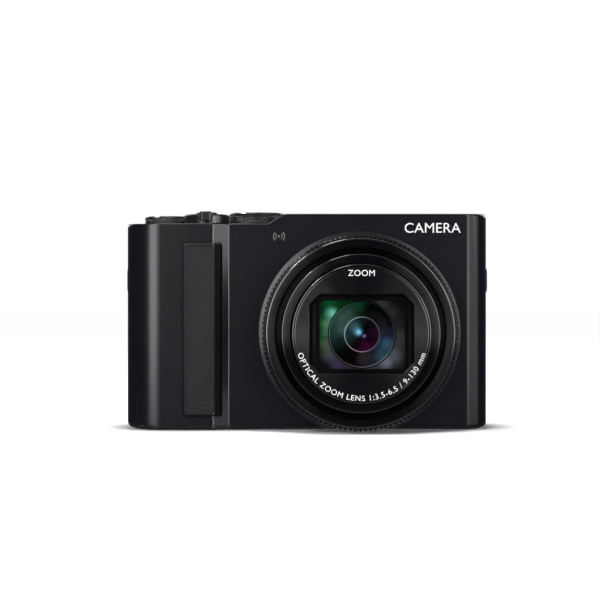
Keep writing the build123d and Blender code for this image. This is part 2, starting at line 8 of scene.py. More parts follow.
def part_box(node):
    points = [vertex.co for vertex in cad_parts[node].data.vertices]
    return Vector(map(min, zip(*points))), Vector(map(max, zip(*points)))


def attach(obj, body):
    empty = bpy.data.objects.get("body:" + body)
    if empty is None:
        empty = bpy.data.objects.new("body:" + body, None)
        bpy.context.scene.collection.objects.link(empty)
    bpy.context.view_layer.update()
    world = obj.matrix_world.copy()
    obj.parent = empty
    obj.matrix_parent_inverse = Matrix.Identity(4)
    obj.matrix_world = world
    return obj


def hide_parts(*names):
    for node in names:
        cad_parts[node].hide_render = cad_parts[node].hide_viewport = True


# Looks of a compact digital camera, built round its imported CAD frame.
# Sizes are in millimetres in the frame's own axes; meshes are scaled to metres when made.

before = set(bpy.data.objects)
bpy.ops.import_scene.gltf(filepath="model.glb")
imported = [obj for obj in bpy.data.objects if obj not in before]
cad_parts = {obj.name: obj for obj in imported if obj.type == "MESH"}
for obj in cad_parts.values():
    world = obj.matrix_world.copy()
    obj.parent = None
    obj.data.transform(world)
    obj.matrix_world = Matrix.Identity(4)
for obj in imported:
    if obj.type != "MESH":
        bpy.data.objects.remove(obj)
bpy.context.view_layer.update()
MM = 0.001


# ------------------------------------------------------------- sizes read from the frame
def span(node):
    """Lowest and highest corner of a CAD node, in millimetres."""
    low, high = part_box(node)
    return low / MM, high / MM


def centre(node):
    low, high = span(node)
    return (low + high) / 2


def top_left_of(node, x):
    """Highest point of a CAD node to the left of x."""
    return max(v.co.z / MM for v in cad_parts[node].data.vertices if v.co.x / MM < x)


WALL = span("bottom_cover")[1].z                # thickness of the covers
HALF_WIDTH = span("rear_cover")[1].x
BODY_REAR = span("rear_cover")[1].y
GRIP_FRONT = span("front_cover")[0].y
BODY_FRONT = GRIP_FRONT + 3.0
HIGH_DECK = span("top_cover")[1].z
LOW_DECK = top_left_of("top_cover", -30.0)
STEP_LOW_X, STEP_HIGH_X = -12.2, -7.2           # the slope between the decks
GRIP_EDGE_X, GRIP_FOOT_X = -28.9, -24.1         # the flank of the grip
LEFT_TURN_X, LEFT_TURN_Y = 6.0, 4.6             # the flat across the left corner, before rounding
RIGHT_TURN_X, RIGHT_TURN_Y = 49.15, 0.9         # where the front starts back to the right side
DECK_ONLY = 40                                  # a height between the middle and the decks
SIDE, DEEP, TALL = 70, 30, 90                   # well beyond the body: sideways, in depth, above
SEAM = 0.1
SPLIT = 0.05                                    # half the seam between front and rear cover

LENS = centre("control_ring")
RING_FRONT, RING_REAR = span("control_ring")[0].y, span("control_ring")[1].y
GLASS_AT = (LENS.x + 0.3, LENS.z - 0.28)         # where the bent light shows the inner glass
FACE_Y = span("barrel_2")[0].y
FRONT_GLASS_Y = FACE_Y + 3.6                    # the front element's nearest point
BARREL_1_FRONT, BARREL_1_REAR = span("barrel_1")[0].y, span("barrel_1")[1].y
BARREL_2_REAR = span("barrel_2")[1].y


# ------------------------------------------------------------- 2D outlines
def rounded(points, radii, step):
    """A closed outline with an arc of the given radius at each corner, in steps of step degrees."""
    outline = []
    count = len(points)
    for i, (here, radius) in enumerate(zip(points, radii)):
        corner = Vector(here)
        a = (Vector(points[i - 1]) - corner).normalized()
        b = (Vector(points[(i + 1) % count]) - corner).normalized()
        opening = a.angle(b)
        if radius <= 0 or opening > math.radians(179):
            outline.append(tuple(corner))
            continue
        middle = corner + (a + b).normalized() * (radius / math.sin(opening / 2))
        start = corner + a * (radius / math.tan(opening / 2)) - middle
        end = corner + b * (radius / math.tan(opening / 2)) - middle
        turn = math.atan2(start.x * end.y - start.y * end.x, start.dot(end))
        pieces = max(2, math.ceil(abs(math.degrees(turn)) / step - 1e-3))
        for k in range(pieces + 1):
            spun = Matrix.Rotation(turn * k / pieces, 2) @ start
            outline.append(tuple(middle + spun))
    return outline


def rectangle(low, high, radius, step=6.0):
    (x0, y0), (x1, y1) = low, high
    return rounded([(x0, y0), (x1, y0), (x1, y1), (x0, y1)], [radius] * 4, step)


def circle(x, y, radius, count=96):
    return [(x + radius * math.cos(2 * math.pi * k / count),
             y + radius * math.sin(2 * math.pi * k / count)) for k in range(count)]


def body_plan(inset=0.0):
    """The body seen from above."""
    half = HALF_WIDTH - inset
    front, rear, grip = BODY_FRONT + inset, BODY_REAR - inset, GRIP_FRONT + inset
    points = [(-half, rear), (-half, grip + LEFT_TURN_Y), (LEFT_TURN_X - half, grip),
              (GRIP_EDGE_X, grip), (GRIP_FOOT_X, front), (RIGHT_TURN_X, front),
              (half, front + RIGHT_TURN_Y), (half, rear)]
    return rounded(points, [4.5 - inset, 6.2 - inset, 13.0 - inset, 1.5, 1.0, 0.8, 6.9 - inset,
                            4.5 - inset], 3)


def body_face(inset=0.0):
    """The body seen from the front."""
    half = HALF_WIDTH - inset
    points = [(-half, inset), (-half, LOW_DECK - inset), (STEP_LOW_X, LOW_DECK - inset),
              (STEP_HIGH_X, HIGH_DECK - inset), (half, HIGH_DECK - inset), (half, inset)]
    return rounded(points, [2.4 - inset, 1.0, 2.0, 2.0, 1.2, 1.8 - inset], 5)


def deck_face(drop):
    """Everything lower than the decks, less drop, seen from the front."""
    reach = HALF_WIDTH + 2
    points = [(-reach, -2), (-reach, LOW_DECK - drop), (STEP_LOW_X, LOW_DECK - drop),
              (STEP_HIGH_X, HIGH_DECK - drop), (reach, HIGH_DECK - drop), (reach, -2)]
    return rounded(points, [0, 0, 2.0, 2.0, 0, 0], 5)


# ------------------------------------------------------------- meshes
def piece(name, points, faces, flat_angle=32.0):
    """A mesh object from points in millimetres, smooth but for edges sharper than flat_angle."""
    mesh = bpy.data.meshes.new(name)
    mesh.from_pydata([Vector(p) * MM for p in points], [], faces)
    made = bpy.data.objects.new(name, mesh)
    bpy.context.scene.collection.objects.link(made)
    tidy(made, flat_angle)
    return made


def tidy(made, flat_angle=32.0, weld=1e-7):
    """Consistent outward faces, smooth shading and marked sharp edges."""
    work = bmesh.new()
    work.from_mesh(made.data)
    bmesh.ops.remove_doubles(work, verts=work.verts, dist=weld)
    bmesh.ops.recalc_face_normals(work, faces=work.faces)
    for face in work.faces:
        face.smooth = True
    for edge in work.edges:
        edge.smooth = len(edge.link_faces) == 2 and edge.calc_face_angle(0) < math.radians(flat_angle)
    work.to_mesh(made.data)
    work.free()


def placed(along, u, v, t):
    """The 3D point of outline point (u, v) at t along the given axis."""
    return {"X": (t, u, v), "Y": (u, t, v), "Z": (u, v, t)}[along]


def prism(name, outline, along, low, high):
    """An outline run along an axis."""
    n = len(outline)
    points = [placed(along, u, v, t) for t in (low, high) for u, v in outline]
    faces = [list(range(n)), list(range(n, 2 * n))]
    faces += [[i, (i + 1) % n, n + (i + 1) % n, n + i] for i in range(n)]
    return piece(name, points, faces)


def block(name, low, high):
    outline = [(low[0], low[1]), (high[0], low[1]), (high[0], high[1]), (low[0], high[1])]
    return prism(name, outline, "Z", low[2], high[2])


def lathe(name, profile, axis="Y", at=None, count=256, wave=None):
    """A solid turned about an axis from a closed or pole-to-pole (radius, place) profile.

    wave(turn, radius, place) gives how far a point is drawn in towards the axis."""
    at = at or (LENS.x, LENS.z)
    points, rings = [], []
    for radius, place in profile:
        if radius < 1e-6:
            rings.append([len(points)] * count)
            points.append(placed(axis, at[0], at[1], place))
            continue
        rings.append(list(range(len(points), len(points) + count)))
        for k in range(count):
            turn = 2 * math.pi * k / count
            r = radius - (wave(turn, radius, place) if wave else 0.0)
            points.append(placed(axis, at[0] + r * math.cos(turn), at[1] + r * math.sin(turn), place))
    open_ended = profile[0][0] < 1e-6 and profile[-1][0] < 1e-6
    faces = []
    for i in range(len(profile) - (1 if open_ended else 0)):
        a, b = rings[i], rings[(i + 1) % len(profile)]
        for k in range(count):
            corner = [a[k], a[(k + 1) % count], b[(k + 1) % count], b[k]]
            loop = list(dict.fromkeys(corner))
            if len(loop) > 2:
                faces.append(loop)
    return piece(name, points, faces)


def baked(made):
    """Applies every modifier of an object to its mesh."""
    graph = bpy.context.evaluated_depsgraph_get()
    mesh = bpy.data.meshes.new_from_object(made.evaluated_get(graph))
    made.modifiers.clear()
    made.data = mesh


def combine(made, tools, operation="DIFFERENCE"):
    """A boolean of one object with several tool objects, which are used up."""
    for tool in tools:
        step = made.modifiers.new("cut", "BOOLEAN")
        step.operation, step.object, step.solver = operation, tool, "EXACT"
    baked(made)
    for tool in tools:
        bpy.data.objects.remove(tool)
    tidy(made, weld=2e-7)
    return made


def eased(made, width, segments, angle=35.0, even=True):
    """Rounds every sharp edge by width and, unless told not to, evens the shading."""
    bevel = made.modifiers.new("ease", "BEVEL")
    bevel.width, bevel.segments = width * MM, segments
    bevel.limit_method, bevel.angle_limit = "ANGLE", math.radians(angle)
    bevel.use_clamp_overlap, bevel.miter_outer = False, "MITER_ARC"
    if even:
        made.modifiers.new("even", "WEIGHTED_NORMAL").keep_sharp = True


def dress(made, body, material, stands_for=()):
    """Puts a piece on its body with its material, in place of CAD nodes."""
    made.data.materials.clear()
    made.data.materials.append(material)
    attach(made, body)
    if stands_for:
        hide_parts(*stands_for)


# ------------------------------------------------------------- materials
def shader(name):
    """A new material with its node tree, surface shader and object coordinates."""
    made = bpy.data.materials.new(name)
    made.use_nodes = True
    nodes, links = made.node_tree.nodes, made.node_tree.links
    surface = nodes["Principled BSDF"]
    place = nodes.new("ShaderNodeTexCoord").outputs["Object"]
    return made, nodes, links, surface, place


def noise(nodes, links, place, size, detail):
    """Noise with features about size millimetres across."""
    made = nodes.new("ShaderNodeTexNoise")
    made.inputs["Scale"].default_value = 1 / (size * MM)
    made.inputs["Detail"].default_value = detail
    links.new(place, made.inputs["Vector"])
    return made.outputs["Fac"]


def ramp(nodes, links, source, dark, light, low=0.35, high=0.65):
    """A colour between dark and light that follows source."""
    made = nodes.new("ShaderNodeValToRGB")
    for stop, place, colour in zip(made.color_ramp.elements, (low, high), (dark, light)):
        stop.position, stop.color = place, (*colour, 1.0)
    links.new(source, made.inputs["Fac"])
    return made.outputs["Color"]


def mapped(nodes, links, source, old, new=(0.0, 1.0), kind="LINEAR"):
    """source moved from the old range of numbers, (low, high), to the new one."""
    made = nodes.new("ShaderNodeMapRange")
    made.interpolation_type = kind
    for socket, value in zip(("From Min", "From Max", "To Min", "To Max"), (*old, *new)):
        made.inputs[socket].default_value = value
    links.new(source, made.inputs["Value"])
    return made.outputs["Result"]


def spread(nodes, links, source, low, high):
    """A number between low and high that follows a noise."""
    return mapped(nodes, links, source, (0.3, 0.7), (low, high))


def vector_step(nodes, links, operation, *sources):
    """The result of a vector maths node fed by sockets or constant triples."""
    made = nodes.new("ShaderNodeVectorMath")
    made.operation = operation
    for socket, source in zip(made.inputs, sources):
        if isinstance(source, tuple):
            socket.default_value = source
        else:
            links.new(source, socket)
    return made.outputs["Value" if operation in ("LENGTH", "DISTANCE") else "Vector"]


def flattened(nodes, links, place, at, scale):
    """Object coordinates from the axis through at, (x, z), without their depth, times scale."""
    away = vector_step(nodes, links, "SUBTRACT", place, (at[0] * MM, 0, at[1] * MM))
    return vector_step(nodes, links, "MULTIPLY", away, (scale, 0, scale))


def outward(nodes, links, place):
    """The direction away from the optical axis, which turned surfaces stretch highlights along."""
    away = flattened(nodes, links, place, (LENS.x, LENS.z), 1)
    unit = vector_step(nodes, links, "NORMALIZE", away)
    world = nodes.new("ShaderNodeVectorTransform")
    world.vector_type, world.convert_from, world.convert_to = "VECTOR", "OBJECT", "WORLD"
    links.new(unit, world.inputs["Vector"])
    return world.outputs["Vector"]


def finish_of(name, dark, light, rough, grain, depth, blotch=14.0, metal=0.0, shine=0.5,
              coat=0.0, spun=0.0, lift=0.0):
    """A surface finish: mottled colour, uneven roughness and a fine grain, sizes in millimetres.

    rough is its lowest and highest roughness, spun stretches highlights as turning does, and
    lift is a little light of its own."""
    made, nodes, links, surface, place = shader(name)
    wide = noise(nodes, links, place, blotch, 4.0)
    fine = noise(nodes, links, place, grain, 2.0)
    colour = ramp(nodes, links, wide, dark, light)
    links.new(colour, surface.inputs["Base Color"])
    links.new(spread(nodes, links, fine, *rough), surface.inputs["Roughness"])
    if lift:
        links.new(colour, surface.inputs["Emission Color"])
        surface.inputs["Emission Strength"].default_value = lift
    if depth:
        bump = nodes.new("ShaderNodeBump")
        bump.inputs["Distance"].default_value = depth * MM
        links.new(fine, bump.inputs["Height"])
        links.new(bump.outputs["Normal"], surface.inputs["Normal"])
    if spun:
        surface.inputs["Anisotropic"].default_value = spun
        links.new(outward(nodes, links, place), surface.inputs["Tangent"])
    surface.inputs["Metallic"].default_value = metal
    surface.inputs["Specular IOR Level"].default_value = shine
    surface.inputs["Coat Weight"].default_value = coat
    surface.inputs["Coat Roughness"].default_value = 0.08
    return made


def grey(level):
    """A neutral colour."""
    return (level, level, level)


TURNED_BLACK = (0.0030, 0.0031, 0.0038), (0.0042, 0.0043, 0.0050)
PAINT = finish_of("matt_black_paint", (0.0040, 0.0044, 0.0056), (0.0052, 0.0056, 0.0070),
                  (0.215, 0.245), grain=0.22, depth=0.003)
LENS_SATIN = finish_of("satin_black_anodising", (0.0020, 0.0021, 0.0026), (0.0028, 0.0029, 0.0034),
                       (0.27, 0.31), grain=0.12, depth=0.002, shine=0.28, spun=1.0)
FLANGE = finish_of("fine_turned_black", *TURNED_BLACK, (0.31, 0.35), grain=0.12, depth=0.002,
                   shine=0.64, spun=0.5)
LENS_DARK = finish_of("dull_black_anodising", (0.0015, 0.0015, 0.0020), (0.0020, 0.0020, 0.0025),
                      (0.28, 0.33), grain=0.12, depth=0.002, shine=0.10, spun=1.0)
LENS_GLOSS = finish_of("semi_gloss_black", *TURNED_BLACK, (0.27, 0.31), grain=0.15, depth=0.001,
                       blotch=6, shine=0.30, spun=1.0)
EDGE = finish_of("polished_black_edge", grey(0.006), grey(0.009), (0.14, 0.18), grain=0.3,
                 depth=0.0, shine=1.0)
INNER_BLACK = finish_of("flocked_black", grey(0.0012), grey(0.0022), (0.65, 0.8), grain=0.1,
                        depth=0.02, shine=0.06)
RUBBER = finish_of("grip_rubber", (0.0055, 0.0050, 0.0070), (0.0075, 0.0070, 0.0095),
                   (0.27, 0.33), grain=0.09, depth=0.004, shine=0.26)
# A darker copy of the rubber for the strip's flank: painted shade where the flank turns away from the
# light.
RUBBER_PAINTED_SHADE = finish_of("grip_rubber_painted_shade", (0.0013, 0.0012, 0.0018), (0.0020, 0.0019, 0.0026),
                        (0.5, 0.6), grain=0.09, depth=0.004, shine=0.08)
DIAL = finish_of("machined_black_aluminium", grey(0.0085), grey(0.0125), (0.24, 0.30), grain=0.08,
                 depth=0.004, metal=0.12)
KNURL = finish_of("knurled_black_metal", grey(0.10), grey(0.14), (0.14, 0.19), grain=0.08,
                  depth=0.002, metal=1.0)
PLASTIC = finish_of("moulded_black_plastic", grey(0.008), grey(0.011), (0.35, 0.45), grain=0.18,
                    depth=0.010)
SCREEN = finish_of("screen_glass", grey(0.0035), grey(0.0045), (0.03, 0.05), grain=4, depth=0,
                   coat=0.5)
WINDOW = finish_of("flash_window", grey(0.45), grey(0.60), (0.12, 0.2), grain=0.5, depth=0.02,
                   blotch=3)
STEEL = finish_of("bright_steel", grey(0.42), grey(0.55), (0.22, 0.34), grain=0.1, depth=0.004,
                  metal=1.0)
BOARD = finish_of("circuit_board", (0.010, 0.060, 0.030), (0.016, 0.085, 0.040), (0.3, 0.45),
                  grain=0.4, depth=0.03, blotch=3)
PANEL = finish_of("panel_backing", grey(0.10), grey(0.16), (0.35, 0.5), grain=0.5, depth=0.01)
WRAP = finish_of("battery_wrap", (0.030, 0.030, 0.039), (0.045, 0.045, 0.0585), (0.35, 0.45),
                 grain=0.4, depth=0.01)
# White print; lift adds a painted glow on top of the print's own white.
INK = finish_of("printed_white_painted_glow", grey(0.80), grey(0.88), (0.45, 0.6), grain=0.15, depth=0.002,
                blotch=1.5, lift=0.35)
GREY_INK = finish_of("printed_grey", grey(0.13), grey(0.17), (0.45, 0.6), grain=0.15,
                     depth=0.002, blotch=1.5)
RED_INK = finish_of("printed_red", (0.45, 0.012, 0.010), (0.60, 0.020, 0.015), (0.4, 0.5),
                    grain=0.15, depth=0.002, blotch=1.5)


def colour_wheel(nodes, links, flat, stops):
    """A colour that changes round the axis: stops are (degrees from +X towards +Z, colour)."""
    axis = nodes.new("ShaderNodeSeparateXYZ")
    links.new(flat, axis.inputs["Vector"])
    turn = nodes.new("ShaderNodeMath")
    turn.operation = "ARCTAN2"
    links.new(axis.outputs["Z"], turn.inputs[0])
    links.new(axis.outputs["X"], turn.inputs[1])
    share = mapped(nodes, links, turn.outputs["Value"], (-math.pi, math.pi))
    wheel = nodes.new("ShaderNodeValToRGB")
    wheel.color_ramp.interpolation = "EASE"
    placed_stops = sorted((((degrees + 180) % 360) / 360, colour) for degrees, colour in stops)
    first, last = placed_stops[0], placed_stops[-1]
    near = first[0] / (first[0] + 1 - last[0])
    seam = tuple(a + (b - a) * near for a, b in zip(first[1], last[1]))
    elements = wheel.color_ramp.elements
    elements[0].color, elements[1].color = (*seam, 1.0), (*seam, 1.0)
    for position, colour in placed_stops:
        elements.new(position).color = (*colour, 1.0)
    links.new(share, wheel.inputs["Fac"])
    return wheel.outputs["Color"]


def scaled_by(nodes, links, colour, amount):
    """A colour socket or constant times a number socket."""
    made = nodes.new("ShaderNodeVectorMath")
    made.operation = "SCALE"
    if isinstance(colour, tuple):
        made.inputs[0].default_value = colour
    else:
        links.new(colour, made.inputs[0])
    links.new(amount, made.inputs["Scale"])
    return made.outputs["Vector"]


def painted_reflection_glass(name, wheel, radial, painted_highlight_spots, rough=0.3, shine=0.03):
    """A dark lens surface with painted reflections: emission stands in for the coloured light coated
    glass reflects.

    wheel colours change round the axis, radial is (radius, strength) outwards from it, and
    painted_highlight_spots are (x, z, radius, colour) painted highlights in millimetres from the
    axis."""
    made, nodes, links, surface, place = shader(name)
    flat = flattened(nodes, links, place, GLASS_AT, 1 / MM)
    widest = radial[-1][0]
    share = mapped(nodes, links, vector_step(nodes, links, "LENGTH", flat), (0, widest))
    fade = nodes.new("ShaderNodeValToRGB")
    fade.color_ramp.interpolation = "EASE"
    elements = fade.color_ramp.elements
    for element, (radius, strength) in zip(elements, (radial[0], radial[-1])):
        element.position, element.color = radius / widest, (*grey(strength), 1.0)
    for radius, strength in radial[1:-1]:
        elements.new(radius / widest).color = (*grey(strength), 1.0)
    links.new(share, fade.inputs["Fac"])
    total = scaled_by(nodes, links, colour_wheel(nodes, links, flat, wheel), fade.outputs["Color"])
    for x, z, radius, colour in painted_highlight_spots:
        gap = vector_step(nodes, links, "DISTANCE", flat, (x, 0, z))
        soft = mapped(nodes, links, gap, (0, radius), (1, 0), "SMOOTHERSTEP")
        total = vector_step(nodes, links, "ADD", total, scaled_by(nodes, links, colour, soft))
    # The painted reflections and highlights are emitted, not reflected.
    links.new(total, surface.inputs["Emission Color"])
    surface.inputs["Emission Strength"].default_value = 1.0
    base = noise(nodes, links, place, 3.0, 1.0)
    links.new(ramp(nodes, links, base, grey(0.001), grey(0.002)), surface.inputs["Base Color"])
    links.new(spread(nodes, links, base, rough * 0.8, rough * 1.2), surface.inputs["Roughness"])
    surface.inputs["Specular IOR Level"].default_value = shine
    return made


def coated_glass(name, wheel, index):
    """Clear glass whose coating reflects colours that change round the axis."""
    made, nodes, links, surface, place = shader(name)
    nodes.remove(surface)
    flat = flattened(nodes, links, place, GLASS_AT, 1 / MM)
    sheen = nodes.new("ShaderNodeBsdfGlossy")
    smear = noise(nodes, links, place, 5.0, 1.0)
    links.new(spread(nodes, links, smear, 0.10, 0.16), sheen.inputs["Roughness"])
    links.new(colour_wheel(nodes, links, flat, wheel), sheen.inputs["Color"])
    through = nodes.new("ShaderNodeBsdfTransparent")
    facing = nodes.new("ShaderNodeFresnel")
    facing.inputs["IOR"].default_value = index
    blend = nodes.new("ShaderNodeMixShader")
    links.new(facing.outputs["Fac"], blend.inputs["Fac"])
    links.new(through.outputs["BSDF"], blend.inputs[1])
    links.new(sheen.outputs["BSDF"], blend.inputs[2])
    links.new(blend.outputs["Shader"], nodes["Material Output"].inputs["Surface"])
    return made


# Colours and places of the painted reflections and highlights, drawn as emission, are given round the
# axis and in millimetres from it.
FRONT_GLASS = coated_glass(
    "front_coated_glass",
    [(0, (0.30, 0.32, 0.36)), (60, (0.30, 0.30, 0.30)), (110, (0.10, 0.75, 0.35)),
     (150, (0.25, 0.95, 0.60)), (185, (0.20, 0.80, 0.45)), (230, (0.40, 0.35, 0.70)),
     (290, (0.45, 0.45, 0.65)), (330, (0.40, 0.45, 0.55))], 1.05)
CELL_PAINTED_REFLECTIONS = painted_reflection_glass(
    "lens_cell_painted_reflections",
    [(0, (0.012, 0.013, 0.015)), (45, (0.008, 0.008, 0.009)), (75, (0.008, 0.007, 0.006)),
     (100, (0.001, 0.014, 0.003)), (135, (0.002, 0.030, 0.008)), (170, (0.006, 0.035, 0.012)),
     (195, (0.018, 0.030, 0.016)), (222, (0.010, 0.010, 0.013)), (255, (0.020, 0.016, 0.030)),
     (300, (0.030, 0.034, 0.042)), (335, (0.026, 0.028, 0.032))],
    [(0, 1.0), (10.0, 1.0), (12.5, 0.75), (15.0, 0.35), (17.0, 0.2)],
    [(-9.2, 6.2, 3.2, (0.056, 0.240, 0.175)), (-8.7, 6.5, 2.0, (0.080, 0.170, 0.150)),
     (-10.4, 3.2, 2.6, (0.060, 0.120, 0.085)), (-12.6, 3.5, 4.0, (0.0, 0.034, 0.007)),
     (-10.6, 0.6, 2.4, (0.030, 0.070, 0.045)), (-12.4, -1.5, 3.4, (0.0, 0.022, 0.005)),
     (-10.0, 9.6, 4.0, (0.0, 0.036, 0.010)), (-10.7, -3.0, 2.8, (0.030, 0.040, 0.032)),
     (-9.8, -6.0, 3.6, (0.032, 0.037, 0.040)), (-7.6, -8.9, 3.4, (0.026, 0.016, 0.048)),
     (7.2, -8.6, 3.0, (0.075, 0.080, 0.105)), (9.4, -6.4, 4.2, (0.035, 0.042, 0.052)),
     (11.5, -1.0, 4.0, (0.014, 0.015, 0.018)), (6.0, 9.4, 3.5, (0.020, 0.018, 0.018)),
     (8.4, 6.4, 3.6, (0.009, 0.010, 0.011))])
MIDDLE_PAINTED_REFLECTIONS = painted_reflection_glass(
    "middle_element_painted_reflections",
    [(0, (0.006, 0.010, 0.022)), (20, (0.002, 0.002, 0.004)), (45, (0.000, 0.000, 0.000)),
     (SIDE, (0.000, 0.001, 0.000)), (95, (0.003, 0.014, 0.007)), (120, (0.012, 0.034, 0.024)),
     (150, (0.018, 0.048, 0.038)), (175, (0.010, 0.036, 0.030)), (200, (0.004, 0.012, 0.011)),
     (220, (0.000, 0.001, 0.001)), (250, (0.001, 0.000, 0.000)), (275, (0.008, 0.005, 0.007)),
     (300, (0.010, 0.016, 0.024)), (325, (0.014, 0.036, 0.060)), (345, (0.014, 0.034, 0.062))],
    [(0, 0.4), (5.3, 1.1), (6.2, 0.55), (7.2, 0.85), (9.0, 1.0), (9.9, 0.7)],
    [(-4.6, 5.0, 4.6, (0.010, 0.026, 0.022)), (-6.0, 1.4, 2.6, (0.012, 0.036, 0.036)),
     (-1.0, 8.8, 3.0, (0.0, 0.016, 0.004)), (7.4, -2.9, 3.0, (0.010, 0.028, 0.050)),
     (5.6, -6.6, 3.0, (0.008, 0.022, 0.034)), (0.5, -7.2, 3.4, (0.014, 0.009, 0.010))])
CORE_PAINTED_REFLECTIONS = painted_reflection_glass(
    "core_element_painted_reflections",
    [(0, (0.010, 0.000, 0.008)), (60, (0.000, 0.000, 0.001)), (95, (0.002, 0.008, 0.010)),
     (150, (0.014, 0.036, 0.042)), (200, (0.006, 0.014, 0.016)), (235, (0.001, 0.001, 0.001)),
     (262, (0.006, 0.000, 0.004)), (300, (0.010, 0.000, 0.009)), (335, (0.005, 0.000, 0.004))],
    [(0, 0.5), (2.0, 0.8), (3.5, 1.0), (5.05, 1.0)],
    [(-1.2, 0.8, 2.2, (0.04, 0.16, 0.24)), (-1.0, 0.65, 1.3, (0.14, 0.34, 0.42)),
     (0.6, -0.55, 0.8, (0.14, 0.10, 0.26)), (0.9, -0.3, 0.6, (0.07, 0.06, 0.14)),
     (1.2, -3.9, 3.4, (0.014, 0.0, 0.012)), (-2.0, 2.4, 2.6, (0.018, 0.050, 0.056))])
# The thin retaining rings carry a painted highlight: emission round the axis for the light their
# edges catch.
RING_PAINTED_HIGHLIGHT = painted_reflection_glass(
    "retaining_ring_painted_highlight",
    [(0, (0.06, 0.05, 0.07)), (60, (0.06, 0.06, 0.07)), (120, (0.16, 0.24, 0.24)),
     (165, (0.20, 0.32, 0.32)), (210, (0.12, 0.14, 0.15)), (265, (0.22, 0.13, 0.17)),
     (320, (0.08, 0.06, 0.09))],
    [(0, 1.0), (12.0, 1.0)], [], 0.25, 0.1)
LINE_PAINTED_HIGHLIGHT = painted_reflection_glass(
    "retaining_line_painted_highlight",
    [(0, (0.02, 0.025, 0.035)), (50, (0.010, 0.010, 0.012)), (90, (0.000, 0.030, 0.008)),
     (140, (0.05, 0.14, 0.11)), (180, (0.10, 0.13, 0.12)), (225, (0.06, 0.06, 0.07)),
     (270, (0.10, 0.09, 0.11)), (305, (0.13, 0.14, 0.17)), (340, (0.05, 0.07, 0.09))],
    [(0, 1.0), (12.0, 1.0)], [], 0.25, 0.1)


# ------------------------------------------------------------- body covers
def copy_of(made):
    twin = made.copy()
    twin.data = made.data.copy()
    bpy.context.scene.collection.objects.link(twin)
    return twin


def rounded_edges(made, width_at):
    """Rounds each edge by the width in millimetres that width_at(middle, angle) gives."""
    work = bmesh.new()
    work.from_mesh(made.data)
    weight = work.edges.layers.float.new("bevel_weight_edge")
    widest = 2.0
    for edge in work.edges:
        middle = (edge.verts[0].co + edge.verts[1].co) / 2 / MM
        width = width_at(middle, math.degrees(edge.calc_face_angle(0)))
        edge[weight] = min(1.0, width / widest)
    work.to_mesh(made.data)
    work.free()
    bevel = made.modifiers.new("round", "BEVEL")
    bevel.width, bevel.segments, bevel.limit_method = widest * MM, 4, "WEIGHT"
    bevel.use_clamp_overlap = False
    baked(made)
    tidy(made)


def arc_drop(depth, radius):
    """How far a rounded edge has fallen back at a depth below its end."""
    if depth >= radius:
        return 0.0
    return radius - math.sqrt(radius ** 2 - (radius - depth) ** 2)


def deck_height(x):
    """Height of the deck line over X."""
    line = [point for point in deck_face(0.0) if point[1] > DECK_ONLY]
    for (x0, z0), (x1, z1) in zip(line, line[1:]):
        if x0 <= x <= x1:
            return z0 + (z1 - z0) * (x - x0) / (x1 - x0)
    return HIGH_DECK


def split_at(work, place, direction):
    """Cuts every face of a bmesh along a plane, keeping both sides."""
    bmesh.ops.bisect_plane(work, geom=work.verts[:] + work.edges[:] + work.faces[:],
                           plane_co=Vector(place) * MM, plane_no=direction)


def body_solid():
    """The whole body: its plan run upwards, with rounded ends, corners and deck edges.

    Each row draws the plan in by its foot or brow rounding, and draws the sides in further."""
    foot, brow = 0.8, 0.25
    depths = [0.0, 0.02, 0.06, 0.13, 0.22, 0.34, 0.5, 0.65, 0.8, 1.05, 1.4, 1.8, 2.4]
    tops = [0.0, 0.015, 0.04, 0.08, 0.14, 0.25, 0.4, 0.6, 0.85, 1.2]
    rows = [(z, arc_drop(z, foot), arc_drop(z, 2.4), arc_drop(z, 1.8)) for z in depths]
    rows += [(HIGH_DECK - d, arc_drop(d, brow), arc_drop(d, 1.0), arc_drop(d, 1.2))
             for d in reversed(tops)]
    points, start = [], 45.0                    # the sides are drawn in from this X outwards
    for z, inset, left, right in rows:
        for x, y in body_plan(inset):
            half = HALF_WIDTH - inset
            limit = HALF_WIDTH - max(inset, left if x < 0 else right)
            if abs(x) > start:
                share = (abs(x) - start) / (half - start)
                x = math.copysign(start + share * (limit - start), x)
            points.append((x, y, z))
    n = len(body_plan())
    faces = [list(range(n)), list(range(len(points) - n, len(points)))]
    for row in range(len(rows) - 1):
        for i in range(n):
            a, b = row * n + i, row * n + (i + 1) % n
            faces.append([a, b, b + n, a + n])
    body = piece("body", points, faces)
    work = bmesh.new()
    work.from_mesh(body.data)
    for x in [point[0] for point in deck_face(0.0) if abs(point[0]) < start]:
        split_at(work, (x, 0, 0), (1, 0, 0))
    for vertex in work.verts:
        if vertex.co.z / MM > DECK_ONLY:
            vertex.co.z += (deck_height(vertex.co.x / MM) - HIGH_DECK) * MM
    work.to_mesh(body.data)
    work.free()
    tidy(body)
    return body


SQUARE_ON = 0.99995                             # cosine of a face that is all but square on


def eased_cover(made, width=0.05, splits=()):
    """Eases the cut edges of a cover, whose wide faces are split first to keep them true.

    splits are planes, each a place and a direction, that part the wide faces round a detail."""
    work = bmesh.new()
    work.from_mesh(made.data)
    for place, direction in splits:
        split_at(work, place, direction)
    bmesh.ops.triangulate(work, faces=[face for face in work.faces if len(face.verts) > 4])
    work.to_mesh(made.data)
    work.free()
    eased(made, width, 2, even=False)
    baked(made)
    for face in made.data.polygons:
        if max(abs(part) for part in face.normal) > SQUARE_ON:
            face.use_smooth = False


def region_above(drop):
    """Everything higher than the decks, less drop."""
    line = deck_face(drop)
    deck = [point for point in line if point[1] > DECK_ONLY]
    return deck + [(HALF_WIDTH + 2, TALL), (-HALF_WIDTH - 2, TALL)]


def axis_hole(x, z, radius, low, high):
    return prism("hole", circle(x, z, radius), "Y", low, high)


